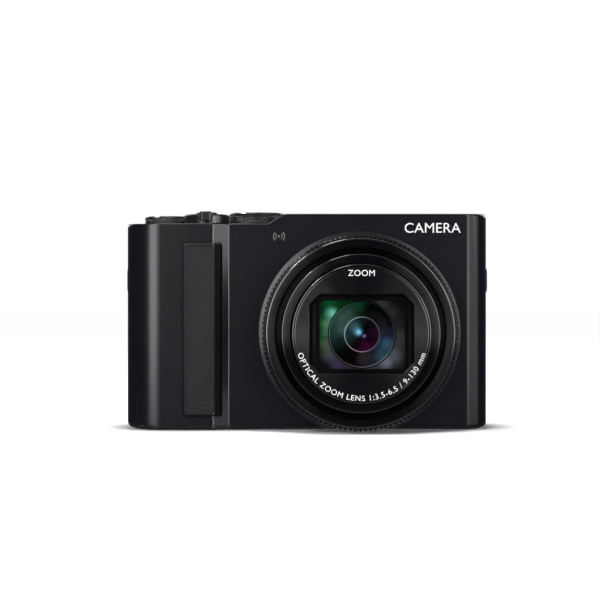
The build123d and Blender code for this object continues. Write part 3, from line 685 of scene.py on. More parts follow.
def strip_plan(lift):
    """The grip strip's path seen from above, from the grip face round its flank."""
    points = [(-60, GRIP_FRONT - lift), (GRIP_EDGE_X + 0.4 * lift, GRIP_FRONT - lift),
              (GRIP_FOOT_X + 0.4 * lift, BODY_FRONT - lift), (0, BODY_FRONT - lift)]
    return rounded(points + [(0, 20), (-60, 20)], [0, 1.5, 1.0, 0, 0, 0], 4)


STRIP_LOW, STRIP_HIGH = (-38.5, 3.8), (-26.1, 57.7)
SCREEN_LOW, SCREEN_HIGH = span("screen_glass")
PAD_AT = centre("cursor_pad")
PAD_R, SET_R = 9.2, 3.95
EYE_AT = centre("eyecup")
BUTTONS = {"finder_button": 2.5, "lock_button": 2.7, "playback_button": 2.6,
           "menu_button": 2.4, "display_button": 2.4}
MODE_AT, CONTROL_AT = (-15.8, 1.0), (-44.3, 6.5)
MODE_R, CONTROL_R = 8.55, 7.3
SHUTTER_AT = (-31.35, -6.0)
MOVIE_AT, MOVIE_R = (-31.5, 4.7), 2.6
FLASH_LOW, FLASH_HIGH = span("flash_head")
SCREWS = ((48.0, -6.0), (48.0, 10.0), (-10.0, 10.0), (-10.5, -11.0))
DOOR_LOW, DOOR_HIGH, DOOR_PIN = (-51.6, -14.9), (-14.9, 2.4), (2.4, 0.675)
FLAP_LOW, FLAP_HIGH, FLAP_PIN = (1.5, 28.0), (9.5, 50.0), (-54.95, 9.5)
DOOR_GAP = 0.15
LUG_LOW, LUG_HIGH, LUG_BAR = (-8.0, 42.4), (-4.0, 49.7), (55.35, -6.0)
LENS_HOLE_R, PAD_ARROW_R = 27.0, 7.2


def about_eye(half_wide, half_tall, radius):
    """A rounded outline about the middle of the viewfinder."""
    x, z = EYE_AT.x, EYE_AT.z
    return rectangle((x - half_wide, z - half_tall), (x + half_wide, z + half_tall), radius)


def lug_pocket(side, grow=0.05):
    """The room for a strap lug in the left (-1) or right (1) side."""
    low = (LUG_LOW[0] - grow, LUG_LOW[1] - grow)
    high = (LUG_HIGH[0] + grow, LUG_HIGH[1] + grow)
    xs = sorted((side * 53.0, side * 58.0))
    return prism("pocket", rectangle(low, high, 1.9), "X", *xs)


def hollow():
    """The room inside the covers."""
    inside = prism("inside", body_plan(WALL), "Z", 0, HIGH_DECK)
    limit = prism("limit", body_face(WALL), "Y", GRIP_FRONT, BODY_REAR)
    return combine(inside, [limit], "INTERSECT")


def cut_front_cover(front):
    """The front, whose rim reaches the deck, so that no seam shows from the front."""
    strip = prism("strip", strip_plan(-0.55), "Z", 0, 66)
    ring = prism("ring", strip_plan(2.0), "Z", STRIP_LOW[1], STRIP_HIGH[1])
    combine(ring, [strip], "DIFFERENCE")
    combine(ring, [prism("window", rectangle(STRIP_LOW, STRIP_HIGH, 1.4), "Y", -25, -10)],
            "INTERSECT")
    over = prism("over", region_above(WALL + SEAM), "Y", -DEEP, DEEP)
    combine(over, [prism("plan", body_plan(WALL), "Z", DECK_ONLY, 95)], "INTERSECT")
    combine(front, [block("rest", (-SIDE, -SPLIT, -5), (SIDE, DEEP, TALL)),
                    block("floor", (-SIDE, -DEEP, -5), (SIDE, DEEP, WALL + SEAM)), hollow(), over,
                    axis_hole(LENS.x, LENS.z, LENS_HOLE_R, -DEEP, 0), ring,
                    lug_pocket(-1), lug_pocket(1)])
    eased_cover(front)
    dress(front, "camera_body", PAINT, ["front_cover"])


def cut_rear_cover(rear):
    """The rear, with a hole for everything that looks out of it."""
    cuts = [block("rest", (-SIDE, -DEEP, -5), (SIDE, SPLIT, TALL)),
            block("floor", (-SIDE, -DEEP, -5), (SIDE, DEEP, WALL + SEAM)), hollow(),
            prism("deck", region_above(WALL + SEAM), "Y", -DEEP, DEEP),
            prism("screen", rectangle((SCREEN_LOW.x - 0.1, SCREEN_LOW.z - 0.1),
                                      (SCREEN_HIGH.x + 0.1, SCREEN_HIGH.z + 0.1), 1.6), "Y", 10, 20),
            axis_hole(PAD_AT.x, PAD_AT.z, PAD_R + 0.15, 10, 20),
            prism("eye", about_eye(6.6, 4.1, 1.0), "Y", 10, 20),
            block("wheel", (47.0, 10, EYE_AT.z - 1.7), (53.4, 20, EYE_AT.z + 1.7)),
            block("flap", (-60, FLAP_LOW[0] - DOOR_GAP, FLAP_LOW[1] - DOOR_GAP),
                  (-53, FLAP_HIGH[0] + 0.85, FLAP_HIGH[1] + DOOR_GAP)),
            prism("pin", circle(*FLAP_PIN, 0.3, 24), "Z", 27, 51)]
    cuts += [axis_hole(centre(node).x, centre(node).z, r + 0.15, 10, 20)
             for node, r in BUTTONS.items()]
    cuts += [prism("sound", circle(4.6, 35.0 + 2 * row, 0.5, 24), "X", 52, 58) for row in range(5)]
    combine(rear, cuts)
    eased_cover(rear)
    dress(rear, "camera_body", PAINT, ["rear_cover"])


def cut_top_cover(top):
    """A deck set into the rim, with the flash well and the dial collar."""
    plan = prism("plan", body_plan(WALL + SEAM), "Z", DECK_ONLY, 80)
    combine(plan, [block("back", (-SIDE, SPLIT, 40), (SIDE, 30, 80))], "UNION")
    combine(top, [plan], "INTERSECT")
    combine(top, [prism("under", deck_face(WALL), "Y", -DEEP, DEEP)])
    collar = prism("collar", circle(*MODE_AT, MODE_R + 1.6, 160), "Z", LOW_DECK - WALL, HIGH_DECK)
    combine(collar, [prism("face", body_face(), "Y", GRIP_FRONT - 1, BODY_REAR + 1)], "INTERSECT")
    well = block("well", (FLASH_LOW.x - 1.05, FLASH_LOW.y - 1.15, 57.4),
                 (FLASH_HIGH.x + 1.05, 7.05, 65.3))
    combine(top, [collar, well], "UNION")
    cuts = [prism("dial", circle(*MODE_AT, MODE_R + 0.45, 160), "Z", LOW_DECK, 70),
            block("inside", (FLASH_LOW.x - 0.25, FLASH_LOW.y - 0.35, 58.0),
                  (FLASH_HIGH.x + 0.25, 6.25, 70)),
            prism("pin", circle(3.2, 63.6, 0.6, 32), "X", FLASH_LOW.x - 0.9, FLASH_HIGH.x + 0.9),
            prism("shaft", circle(*MODE_AT, 2.55), "Z", 50, 70),
            prism("shaft", circle(*CONTROL_AT, 2.55), "Z", 50, 70),
            prism("shaft", circle(*SHUTTER_AT, 4.65), "Z", 50, 70),
            prism("movie", circle(*MOVIE_AT, MOVIE_R + 0.15), "Z", 50, 70),
            block("slot", (-32.3, 10.3, 50), (-23.2, 11.7, 70)),
            block("slot", (12.95, 10.2, 50), (18.65, 11.6, 70))]
    for x in (32.0, 43.0):
        cuts += [prism("sound", rectangle((x, y), (x + 3.4, y + 0.5), 0.24, 45), "Z", 60, 70)
                 for y in (-8.3, -7.0, -5.7)]
    combine(top, cuts)
    across = [((x, 0, 0), (1, 0, 0)) for x in (31.2, 39.2, 47.2)]
    along = [((0, y, 0), (0, 1, 0)) for y in (-9.2, -4.6)]
    eased_cover(top, 0.06, across + along)
    dress(top, "camera_body", PAINT, ["top_cover"])


def cut_bottom_cover(bottom):
    """The flat underside, with the door's opening, the socket and the screw holes."""
    cuts = [block("rest", (-SIDE, -DEEP, WALL), (SIDE, DEEP, TALL)),
            block("door", (DOOR_LOW[0] - DOOR_GAP, DOOR_LOW[1] - DOOR_GAP, -1),
                  (DOOR_HIGH[0] + DOOR_GAP, DOOR_HIGH[1] + 0.9, 3)),
            prism("pin", circle(*DOOR_PIN, 0.3, 24), "X", -52.7, -13.8),
            prism("socket", circle(0, 0, 5.0), "Z", -1, 3)]
    for x, y in SCREWS:
        cuts.append(prism("screw", circle(x, y, 1.6, 48), "Z", -1, 0.75))
        cuts.append(prism("shank", circle(x, y, 0.75, 32), "Z", -1, 3))
    combine(bottom, cuts)
    eased_cover(bottom)
    dress(bottom, "camera_body", PAINT, ["bottom_cover"])


def make_covers():
    body = body_solid()
    for cut_cover in (cut_front_cover, cut_rear_cover, cut_top_cover, cut_bottom_cover):
        cut_cover(copy_of(body))
    bpy.data.objects.remove(body)


def deck_bead(name, path, turned, material):
    """A quarter-round laid along the top edge of a cover: path is (place, outward) in plan."""
    lift = 0.035
    points, faces = [], []
    for spot, out in path:
        top = deck_height(spot.x) - turned
        for t in range(0, 91, 15):
            reach = spot + out * ((turned + lift) * math.cos(math.radians(t)) - turned)
            points.append((reach.x, reach.y, top + (turned + lift) * math.sin(math.radians(t))))
        inner = spot - out * turned
        points.append((inner.x, inner.y, top))
    ring, last = 8, (len(path) - 1) * 8
    for start in range(0, last, ring):
        for k in range(ring):
            corner = (k + 1) % ring
            faces.append((start + k, start + ring + k, start + ring + corner, start + corner))
    faces += [tuple(range(ring - 1, -1, -1)), tuple(range(last, last + ring))]
    dress(piece(name, points, faces), "camera_body", material)


def make_deck_edge():
    """The rounded front edge of the decks, brightest where it climbs the slope."""
    outline, path = body_plan(), []
    for a, b in zip(outline, outline[1:]):
        start, end = Vector(a), Vector(b)
        if max(start.y, end.y) > BODY_FRONT + 8:
            continue
        steps = max(1, math.ceil((end - start).length / 0.4))
        along = (end - start).normalized()
        path += [(start.lerp(end, k / steps), Vector((along.y, -along.x))) for k in range(steps)]
    low, high = STEP_LOW_X - 0.8, STEP_HIGH_X + 0.8
    deck_bead("low_deck_edge", [p for p in path if p[0].x <= low + 0.4], 0.16, PAINT)
    deck_bead("slope_edge", [p for p in path if low <= p[0].x <= high], 0.22, EDGE)
    deck_bead("high_deck_edge", [p for p in path if p[0].x >= high - 0.4], 0.16, PAINT)


# ------------------------------------------------------------- rubber
def along_path(outline, low_x, high_x, step):
    """Points, outward normals and lengths along an outline between two X values."""
    start = next(i for i, p in enumerate(outline) if p[0] > low_x)
    end = next(i for i, p in enumerate(outline) if p[0] >= high_x)
    line = [(low_x, outline[start][1])] + outline[start:end]
    before, after = line[-1], outline[end]
    share = (high_x - before[0]) / (after[0] - before[0])
    line.append((high_x, before[1] + share * (after[1] - before[1])))
    lengths = [0.0]
    for a, b in zip(line, line[1:]):
        lengths.append(lengths[-1] + math.dist(a, b))
    made = []
    total = lengths[-1]
    count = round(total / step)
    for k in range(count + 1):
        s = total * k / count
        i = max(j for j in range(len(line) - 1) if lengths[j] <= s + 1e-9)
        share = (s - lengths[i]) / (lengths[i + 1] - lengths[i])
        a, b = Vector(line[i]), Vector(line[i + 1])
        heading = (b - a).normalized()
        made.append((a.lerp(b, share), Vector((heading.y, -heading.x)), s))
    return made


def zigzag(x):
    return 1 - abs(2 * (x % 1.0) - 1)


def diamond_relief(s, t, wide, tall):
    """Height from 0 to 1 of a field of pointed diamonds."""
    return min(1.0, 1.6 * min(zigzag(s / wide + t / tall), zigzag(s / wide - t / tall)))


def edge_distance(s, t, width, height, radius):
    """Distance in from the edge of a rounded rectangle."""
    x = abs(s - width / 2) - (width / 2 - radius)
    y = abs(t - height / 2) - (height / 2 - radius)
    return radius - math.hypot(max(x, 0), max(y, 0)) - min(max(x, y), 0)


def pillowed(distance, proud, radius):
    """Height of a pad with a rounded edge, at a distance in from that edge."""
    if distance >= radius:
        return proud
    return proud - radius + math.sqrt(max(0.0, radius ** 2 - (radius - distance) ** 2))


def pad_mesh(name, columns, rows, height_at, depth):
    """A pad over a curved or flat path: columns are (x, y), normal, s; rows are Z values."""
    width, low, tall = columns[-1][2], rows[0], rows[-1] - rows[0]
    corner = 1.2
    points, across = [], len(columns)
    for row, z in enumerate(rows):
        for col, (at, out, s) in enumerate(columns):
            near = min(z - low, low + tall - z)
            tuck = corner - math.sqrt(corner ** 2 - (corner - near) ** 2) if near < corner else 0.0
            s_in = min(max(s, tuck), width - tuck)
            at_in = at + Vector((-out.y, out.x)) * (s_in - s)
            lift = height_at(s_in, z - low, edge_distance(s_in, z - low, width, tall, corner))
            if col in (0, across - 1) or row in (0, len(rows) - 1):
                lift = -depth
            points.append((*(at_in + out * lift), z))
    faces = []
    for row in range(len(rows) - 1):
        for col in range(across - 1):
            a = row * across + col
            faces.append([a, a + 1, a + 1 + across, a + across])
    rim = list(range(across)) + [r * across + across - 1 for r in range(1, len(rows))]
    rim += [(len(rows) - 1) * across + c for c in range(across - 2, -1, -1)]
    rim += [r * across for r in range(len(rows) - 2, 0, -1)]
    faces.append(rim[::-1])
    return piece(name, points, faces, 50)


def even_rows(low, high, count):
    """Heights from low to high, with both ends twice for the pad's skirt."""
    return [low] + [low + (high - low) * k / count for k in range(count + 1)] + [high]


def make_grip_strip():
    """The patterned strip let into the grip, which runs round onto its flank."""
    columns = along_path(strip_plan(0.0), STRIP_LOW[0] + 0.45, STRIP_HIGH[0] - 0.35, 0.13)
    columns = columns[:1] + columns + columns[-1:]
    rows = even_rows(STRIP_LOW[1] + 0.45, STRIP_HIGH[1] - 0.45, 270)

    def strip_height(s, t, inside):
        if inside < 1.15:
            return pillowed(inside, 0.30, 0.45)
        return 0.17 + 0.16 * diamond_relief(s, t, 0.9, 1.75)

    strip = pad_mesh("grip_strip", columns, rows, strip_height, 0.5)
    dress(strip, "camera_body", RUBBER, ["grip_rubber"])
    # Faces round the flank take the darker rubber: painted shade on the side turned from the light.
    strip.data.materials.append(RUBBER_PAINTED_SHADE)
    for face in strip.data.polygons:
        if face.center.x > (GRIP_EDGE_X + 0.5) * MM:
            face.material_index = 1


def make_thumb_pad():
    """The patterned rest for the thumb on the rear cover."""
    low, high = span("thumb_rubber")
    width = high.x - low.x
    count = round(width / 0.14)
    columns = [(Vector((high.x - width * k / count, BODY_REAR)), Vector((0, 1)), width * k / count)
               for k in range(count + 1)]
    columns = columns[:1] + columns + columns[-1:]
    rows = even_rows(low.z, high.z, 130)

    def thumb_height(s, t, inside):
        smooth = pillowed(inside, 1.05, 1.0)
        if inside < 1.4:
            return smooth
        return smooth - 0.12 + 0.10 * diamond_relief(s, t, 0.9, 1.75)

    thumb = pad_mesh("thumb_pad", columns, rows, thumb_height, 0.0)
    dress(thumb, "camera_body", RUBBER, ["thumb_rubber"])


# ------------------------------------------------------------- lens
def octagon(size, cut, corner):
    """A rectangle with cut corners about the optical axis."""
    w, h = size[0] / 2, size[1] / 2
    points = [(w, h - cut), (w - cut, h), (cut - w, h), (-w, h - cut),
              (-w, cut - h), (cut - w, -h), (w - cut, -h), (w, cut - h)]
    return rounded([(LENS.x + x, LENS.z + z) for x, z in points], [corner] * 8, 12)


def bright_edge(name, body, radius, front, width):
    """The diamond-cut outer front edge of a turned part: a narrow sloping land and a round."""
    land = 0.15 * width
    turn = width - land
    start = front + land * math.tan(math.radians(9))
    arc = [(radius - turn + turn * math.sin(math.radians(t)),
            start + turn * (1 - math.cos(math.radians(t)))) for t in range(9, 91, 9)]
    ring = lathe(name, [(radius - width, start + turn), (radius - width, front)] + arc, count=320)
    dress(ring, body, EDGE)


def make_flange():
    """The trim ring fixed to the front cover, cut flat where it would pass the underside."""
    flange = lathe("lens_flange", [
        (26.95, -15.5), (31.1, -15.5), (31.1, -16.35), (31.02, -16.5), (30.85, -16.58),
        (29.35, -16.86), (29.2, -17.2), (26.95, -17.2)], count=360)
    combine(flange, [block("low", (-40, -30, -5), (60, 0, 0.4))])
    eased(flange, 0.08, 2, 50)
    dress(flange, "camera_body", FLANGE, ["lens_flange"])


def ribs(turn, radius, place):
    """The notches between the ribs of the control ring, 120 round it."""
    across = abs((turn * 120 / (2 * math.pi)) % 1.0 - 0.5)
    notch = max(0.0, 1 - across / 0.24)
    return min(0.65, max(0.0, radius - 28.85)) * notch


def make_control_ring():
    """The ribbed ring that turns round the lens, with a bright front edge."""
    ring = lathe("control_ring", [
        (26.9, RING_REAR), (29.3, RING_REAR), (29.75, RING_REAR - 0.35), (29.8, RING_REAR - 0.8),
        (29.8, -20.5), (29.8, -23.5), (29.8, -25.05), (29.62, -25.35), (29.2, -25.6),
        (28.85, -25.65), (28.7, -25.85), (28.5, -26.0), (28.3, -26.03), (26.15, -26.15),
        (26.0, -26.08), (25.95, -25.9), (25.95, -25.3), (26.0, -25.2),
        (26.9, -25.2)], count=960, wave=ribs)
    eased(ring, 0.04, 2, 60)
    dress(ring, "control_ring", LENS_SATIN, ["control_ring"])
    bright_edge("ring_edge", "control_ring", 28.87, RING_FRONT, 0.6)


def make_fixed_barrel():
    """The tube fixed in the body, which the barrels slide in."""
    tube = lathe("fixed_barrel", [
        (26.85, -25.0), (26.85, 4.6), (10.0, 4.6), (10.0, 3.4), (24.9, 3.4), (24.9, -24.2),
        (24.1, -24.2), (24.1, -25.0)], count=256)
    eased(tube, 0.08, 2)
    dress(tube, "camera_body", LENS_DARK, ["fixed_barrel"])


def make_barrel_1():
    """The wider of the two tubes that slide out, with a bright front edge."""
    f1, r1 = BARREL_1_FRONT, BARREL_1_REAR
    barrel = lathe("barrel_1", [
        (21.20, f1 + 1.0), (21.20, f1 + 0.14), (21.32, f1 + 0.03), (22.0, f1 + 0.03),
        (23.5, f1 + 0.05), (23.65, f1 + 0.12), (23.85, f1 + 0.45), (23.88, f1 + 3.0),
        (23.88, r1 - 2.0), (24.8, r1 - 2.0), (24.8, r1), (21.75, r1), (21.75, f1 + 1.0)],
        count=320)
    dress(barrel, "barrel_1", LENS_SATIN, ["barrel_1"])
    bright_edge("barrel_1_edge", "barrel_1", 23.9, f1, 0.3)


def make_barrel_2():
    """The narrower tube, with a stepped mouth behind the face plate."""
    f2, r2 = FACE_Y, BARREL_2_REAR
    barrel = lathe("barrel_2", [
        (17.6, f2 + 3.1), (17.05, f2 + 10.1), (19.6, f2 + 10.1), (19.6, r2),
        (21.65, r2), (21.65, r2 - 1.5), (20.73, r2 - 1.5), (20.73, f2 + 0.3), (20.6, f2 + 0.1),
        (20.5, f2 + 0.04), (20.25, f2 + 0.04), (20.15, f2 + 0.14), (20.15, f2 + 1.1),
        (19.9, f2 + 1.1), (19.9, f2 + 3.1)], count=320)
    dress(barrel, "barrel_2", LENS_SATIN, ["barrel_2"])


def make_aperture():
    """The black plate behind the barrier blades, with a stepped frame round its window."""
    f2 = FACE_Y
    baffle = lathe("aperture_baffle", [
        (0, f2 + 3.1), (19.85, f2 + 3.1), (19.85, f2 + 2.4), (19.75, f2 + 2.3), (0, f2 + 2.3)],
        count=256)
    x, z = LENS.x, LENS.z
    window = rectangle((x - 12.45, z - 10.5), (x + 12.95, z + 9.9), 1.7)
    combine(baffle, [prism("aperture", window, "Y", f2, f2 + 5)])
    eased(baffle, 0.07, 2, 60)
    dress(baffle, "barrel_2", INNER_BLACK)
    frame_outline = rectangle((x - 14.6, z - 11.35), (x + 14.9, z + 11.0), 2.2)
    step = prism("aperture_step", frame_outline, "Y", f2 + 2.08, f2 + 2.3)
    combine(step, [prism("hole", rectangle((x - 13.7, z - 10.9), (x + 14.1, z + 10.5), 1.8), "Y",
                         f2, f2 + 5)])
    eased(step, 0.07, 2, 60)
    dress(step, "barrel_2", LENS_DARK)


def make_face_plate():
    """The front plate of barrel 2, with a cut-cornered opening, and the bright rims of both."""
    f2 = FACE_Y
    bright_edge("barrel_2_edge", "barrel_2", 20.75, f2, 0.32)
    bright_edge("face_plate_edge", "barrel_2", 20.1, f2 + 0.08, 0.3)
    plate = lathe("face_plate", [
        (0, f2 + 1.1), (20.08, f2 + 1.1), (20.05, f2 + 0.3), (19.95, f2 + 0.14),
        (19.85, f2 + 0.1), (0, f2 + 0.1)], count=320)
    combine(plate, [prism("opening", octagon((31.1, 23.7), 3.2, 0.6), "Y", f2 - 1, f2 + 3)])
    eased(plate, 0.22, 3, 50)
    dress(plate, "barrel_2", LENS_GLOSS, ["face_plate"])


def make_blades():
    """The barrier: a leading and a trailing blade above and below, parked behind the plate."""
    radius, chord = 19.65, 12.0
    half = math.acos(chord / radius)
    for node, side, layer in (("blade_upper_lead", 1, 0), ("blade_upper_trail", 1, 1),
                              ("blade_lower_lead", -1, 0), ("blade_lower_trail", -1, 1)):
        y = FACE_Y + 1.2 + layer * 0.5
        arc = [math.pi / 2 * side + half * (2 * k / 64 - 1) for k in range(65)]
        outline = [(LENS.x + radius * math.cos(a), LENS.z + radius * math.sin(a)) for a in arc]
        blade = prism(node, outline, "Y", y, y + 0.35)
        eased(blade, 0.06, 2)
        dress(blade, node, LENS_SATIN, [node])


def cap(radius, vertex, sphere):
    """Profile of a convex glass face from its edge to the axis, in 24 steps."""
    radii = [radius * (1 - k / 24) for k in range(25)]
    return [(r, vertex + sphere - math.sqrt(sphere ** 2 - r ** 2)) for r in radii]


def make_front_group():
    """A coated front element, the stepped cell behind it and its retaining ring."""
    glass = FRONT_GLASS_Y
    front = lathe("front_element", [(0, glass + 2.6), (16.95, glass + 3.0)]
                  + cap(16.95, glass, 66.0), count=256)
    dress(front, "barrel_2", FRONT_GLASS, ["front_lens_group"])

    cell = lathe("lens_cell", [
        (16.95, glass + 3.1), (16.95, glass + 6.35), (9.9, glass + 6.35), (9.9, glass + 3.6),
        (11.6, glass + 3.3), (13.5, glass + 3.15)], count=256)
    # The cell carries painted reflections of the coating, drawn as emission.
    dress(cell, "barrel_2", CELL_PAINTED_REFLECTIONS)
    outer = lathe("outer_ring", [
        (10.3, glass + 3.5), (10.3, glass + 4.4), (9.9, glass + 4.4), (9.9, glass + 3.3),
        (9.96, glass + 3.2), (10.12, glass + 3.2), (10.2, glass + 3.35)], "Y", GLASS_AT)
    dress(outer, "barrel_2", INNER_BLACK)
    fine = lathe("outer_ring_line", [
        (9.92, glass + 3.15), (9.82, glass + 3.35), (9.74, glass + 3.35), (9.8, glass + 3.12)],
        "Y", GLASS_AT)
    # A fine line whose painted highlight stands for light caught on the ring's edge.
    dress(fine, "barrel_2", LINE_PAINTED_HIGHLIGHT)


def make_inner_elements():
    """The smaller elements seen through the front one, with the ring between them."""
    glass = FRONT_GLASS_Y
    middle = lathe("middle_element", [(0, glass + 6.3), (10.4, glass + 6.3), (10.4, glass + 4.6)]
                   + cap(10.4, glass + 3.35, 24.0), "Y", GLASS_AT)
    # Painted reflections, drawn as emission, on the middle element.
    dress(middle, "barrel_2", MIDDLE_PAINTED_REFLECTIONS)

    ring = lathe("inner_ring", [
        (5.05, glass + 3.05), (5.05, glass + 4.2), (5.4, glass + 4.2), (5.33, glass + 3.08),
        (5.26, glass + 2.98), (5.14, glass + 2.98)], "Y", GLASS_AT, 192)
    # Painted highlight on the inner ring, drawn as emission.
    dress(ring, "barrel_2", RING_PAINTED_HIGHLIGHT)

    core = lathe("core_element", [(0, glass + 4.6), (5.05, glass + 4.6)]
                 + cap(5.05, glass + 2.95, 60.0), "Y", GLASS_AT, 192)
    # Painted reflections and highlights on the core element, drawn as emission.
    dress(core, "barrel_2", CORE_PAINTED_REFLECTIONS)


# ------------------------------------------------------------- top controls
def knurl(count, depth, low, high, rows):
    """A crossed knurl for a dial rim between two heights."""
    def inset(turn, radius, place):
        if not low <= place <= high:
            return 0.0
        around = turn * count / (2 * math.pi)
        along = (place - low) / (high - low) * rows
        fade = min(1.0, (place - low) / 0.12, (high - place) / 0.12)
        return fade * depth * (1 - min(1.0, 1.5 * min(zigzag(around + along / 2),
                                                      zigzag(around - along / 2))))
    return inset


def dial_profile(radius, low, high, shaft_low, dish):
    """A dial with a rim to be knurled, a chamfer and a dished top, on its shaft."""
    rows = [(radius, low + 0.25 + (high - low - 0.8) * k / 24) for k in range(25)]
    return [(0, shaft_low), (3.4, shaft_low), (3.4, shaft_low + 2.0), (2.5, shaft_low + 2.0),
            (2.5, low), (radius - 0.5, low), (radius - 0.25, low + 0.05)] + rows + [
            (radius - 0.05, high - 0.35), (radius - 0.22, high - 0.06), (radius - 0.35, high),
            (radius - 1.25, high), (radius - 1.4, high - dish), (radius - 3.2, high - dish),
            (0, high - dish)]


def rim_finish(dial, low, high):
    """Gives the knurled band of a dial, between two heights, its own finish."""
    dial.data.materials.append(KNURL)
    for face in dial.data.polygons:
        if abs(face.normal.z) < 0.8 and low < face.center.z / MM < high:
            face.material_index = 1


def mark(name, text, size, thickness, spacing=1.0):
    """Flat generic lettering as a mesh, in the XY plane about the origin, sizes in millimetres."""
    curve = bpy.data.curves.new(name, "FONT")
    curve.body, curve.size, curve.extrude = text, size * MM, thickness * MM
    curve.space_character = spacing
    curve.align_x, curve.align_y = "CENTER", "CENTER"
    source = bpy.data.objects.new(name + "_outline", curve)
    bpy.context.scene.collection.objects.link(source)
    graph = bpy.context.evaluated_depsgraph_get()
    made = bpy.data.objects.new(name, bpy.data.meshes.new_from_object(source.evaluated_get(graph)))
    bpy.context.scene.collection.objects.link(made)
    bpy.data.objects.remove(source)
    return made


def set_on(made, x, y, z, facing, turn=0.0):
    """Moves flat lettering to its place, turned about its own normal, facing top, front or rear."""
    stand = {"top": Matrix.Identity(4), "front": Matrix.Rotation(math.pi / 2, 4, "X"),
             "rear": Matrix.Rotation(math.pi, 4, "Z") @ Matrix.Rotation(math.pi / 2, 4, "X")}[facing]
    made.data.transform(Matrix.Translation(Vector((x, y, z)) * MM) @ stand
                        @ Matrix.Rotation(turn, 4, "Z"))


def make_dial(node, at, radius, high, count, pattern):
    """A knurled dial up to the height high, drawn with count points round its rim.

    pattern is the knurl's teeth round the rim, their depth and the rows of them."""
    low = LOW_DECK + 0.3
    teeth, depth, rows = pattern
    dial = lathe(node, dial_profile(radius, low, high, LOW_DECK - WALL - 2.2, 0.15), "Z", at, count,
                 knurl(teeth, depth, low + 0.2, high - 0.45, rows))
    eased(dial, 0.05, 2, 60)
    dress(dial, node, DIAL, [node])
    rim_finish(dial, low + 0.1, high - 0.2)


def make_mode_dial():
    """The mode dial with generic letters and numbers round its top."""
    x, y = MODE_AT
    high, ring = 67.25, 5.4
    make_dial("mode_dial", MODE_AT, MODE_R + 0.2, high, 720, (72, 0.42, 4))
    for k, text in enumerate(("A", "P", "C1", "C2", "1", "2", "3", "4", "M", "S")):
        turn = 2 * math.pi * k / 10 + math.pi / 2
        sign = mark(f"dial_mark_{k}", text, 2.1, 0.015)
        set_on(sign, x + ring * math.cos(turn), y + ring * math.sin(turn), high - 0.14, "top",
               turn - math.pi / 2)
        dress(sign, "mode_dial", INK)


def make_zoom_lever():
    """A collar round the shutter button, with a ridged tab to the front."""
    x, y = SHUTTER_AT
    collar = lathe("lever_collar", [
        (3.6, 60.0), (5.4, 60.0), (5.4, 61.7), (4.6, 61.7), (4.6, 63.6), (6.5, 63.6),
        (6.95, 63.65), (7.12, 63.8), (7.12, 65.9), (7.02, 66.2), (6.75, 66.42), (6.3, 66.55),
        (5.6, 66.6), (3.9, 66.6), (3.68, 66.5), (3.6, 66.3)], "Z", SHUTTER_AT, 192)
    tab = prism("lever_tab", rectangle((x - 1.9, y - 9.3), (x + 1.9, y - 4.4), 0.9), "Z", 64.4, 67.3)
    combine(tab, [prism("button", circle(x, y, 3.6), "Z", 59, 70)])
    rounded_edges(tab, lambda middle, angle: 0.5 if middle.z > 66 and angle > 40 else 0.0)
    combine(tab, [block("ridge", (x - 3, y - 8.9 + 0.75 * k, 67.12), (x + 3, y - 8.6 + 0.75 * k, 68))
                  for k in range(5)])
    combine(collar, [tab], "UNION")
    eased(collar, 0.08, 2, 50)
    dress(collar, "zoom_lever", DIAL, ["zoom_lever"])


def make_shutter_button():
    button = lathe("shutter_button", [
        (0, 58.4), (1.2, 58.4), (1.2, 65.2), (3.2, 65.2), (3.33, 65.35), (3.35, 66.5),
        (3.25, 67.0), (3.0, 67.2), (2.7, 67.25), (1.6, 67.13), (0, 67.05)], "Z", SHUTTER_AT, 128)
    dress(button, "shutter_button", DIAL, ["shutter_button"])


def make_slides():
    """The power switch and the flash release: grooved slides on a neck through the deck."""
    for node, deck in (("power_switch", LOW_DECK), ("flash_switch", HIGH_DECK)):
        low, high = span(node)
        slide = prism(node, rectangle((low.x, low.y), (high.x, high.y), 0.8), "Z", deck + 0.1,
                      deck + 0.9)
        middle = (low + high) / 2
        rounded_edges(slide, lambda at, angle, top=deck + 0.6: 0.3 if at.z > top and angle > 40
                      else 0.0)
        combine(slide, [block("groove", (middle.x - 1.75 + 0.9 * k, low.y + 0.5, deck + 0.65),
                              (middle.x - 1.4 + 0.9 * k, high.y - 0.5, deck + 2)) for k in range(4)])
        neck = block("neck", (low.x + 1.4, middle.y - 0.6, deck - WALL - 0.4),
                     (high.x - 1.4, middle.y + 0.6, deck + 0.3))
        foot = block("foot", (low.x + 1.4, middle.y - 1.4, deck - WALL - 1.0),
                     (high.x - 1.4, middle.y + 1.4, deck - WALL - 0.2))
        combine(slide, [neck, foot], "UNION")
        eased(slide, 0.06, 2, 50)
        dress(slide, node, PLASTIC, [node])


def make_movie_button():
    movie = lathe("movie_button", [
        (0, 60.4), (3.3, 60.4), (3.3, 61.6), (2.6, 61.6), (2.6, 63.45), (2.5, 63.6), (2.3, 63.65),
        (1.2, 63.6), (0, 63.57)], "Z", MOVIE_AT, 96)
    dress(movie, "movie_button", PLASTIC, ["movie_button"])
    dot = lathe("movie_dot", [(0, 63.56), (0.8, 63.58), (0.8, 63.62), (0.75, 63.63), (0, 63.6)],
                "Z", MOVIE_AT, 48)
    dress(dot, "movie_button", RED_INK)


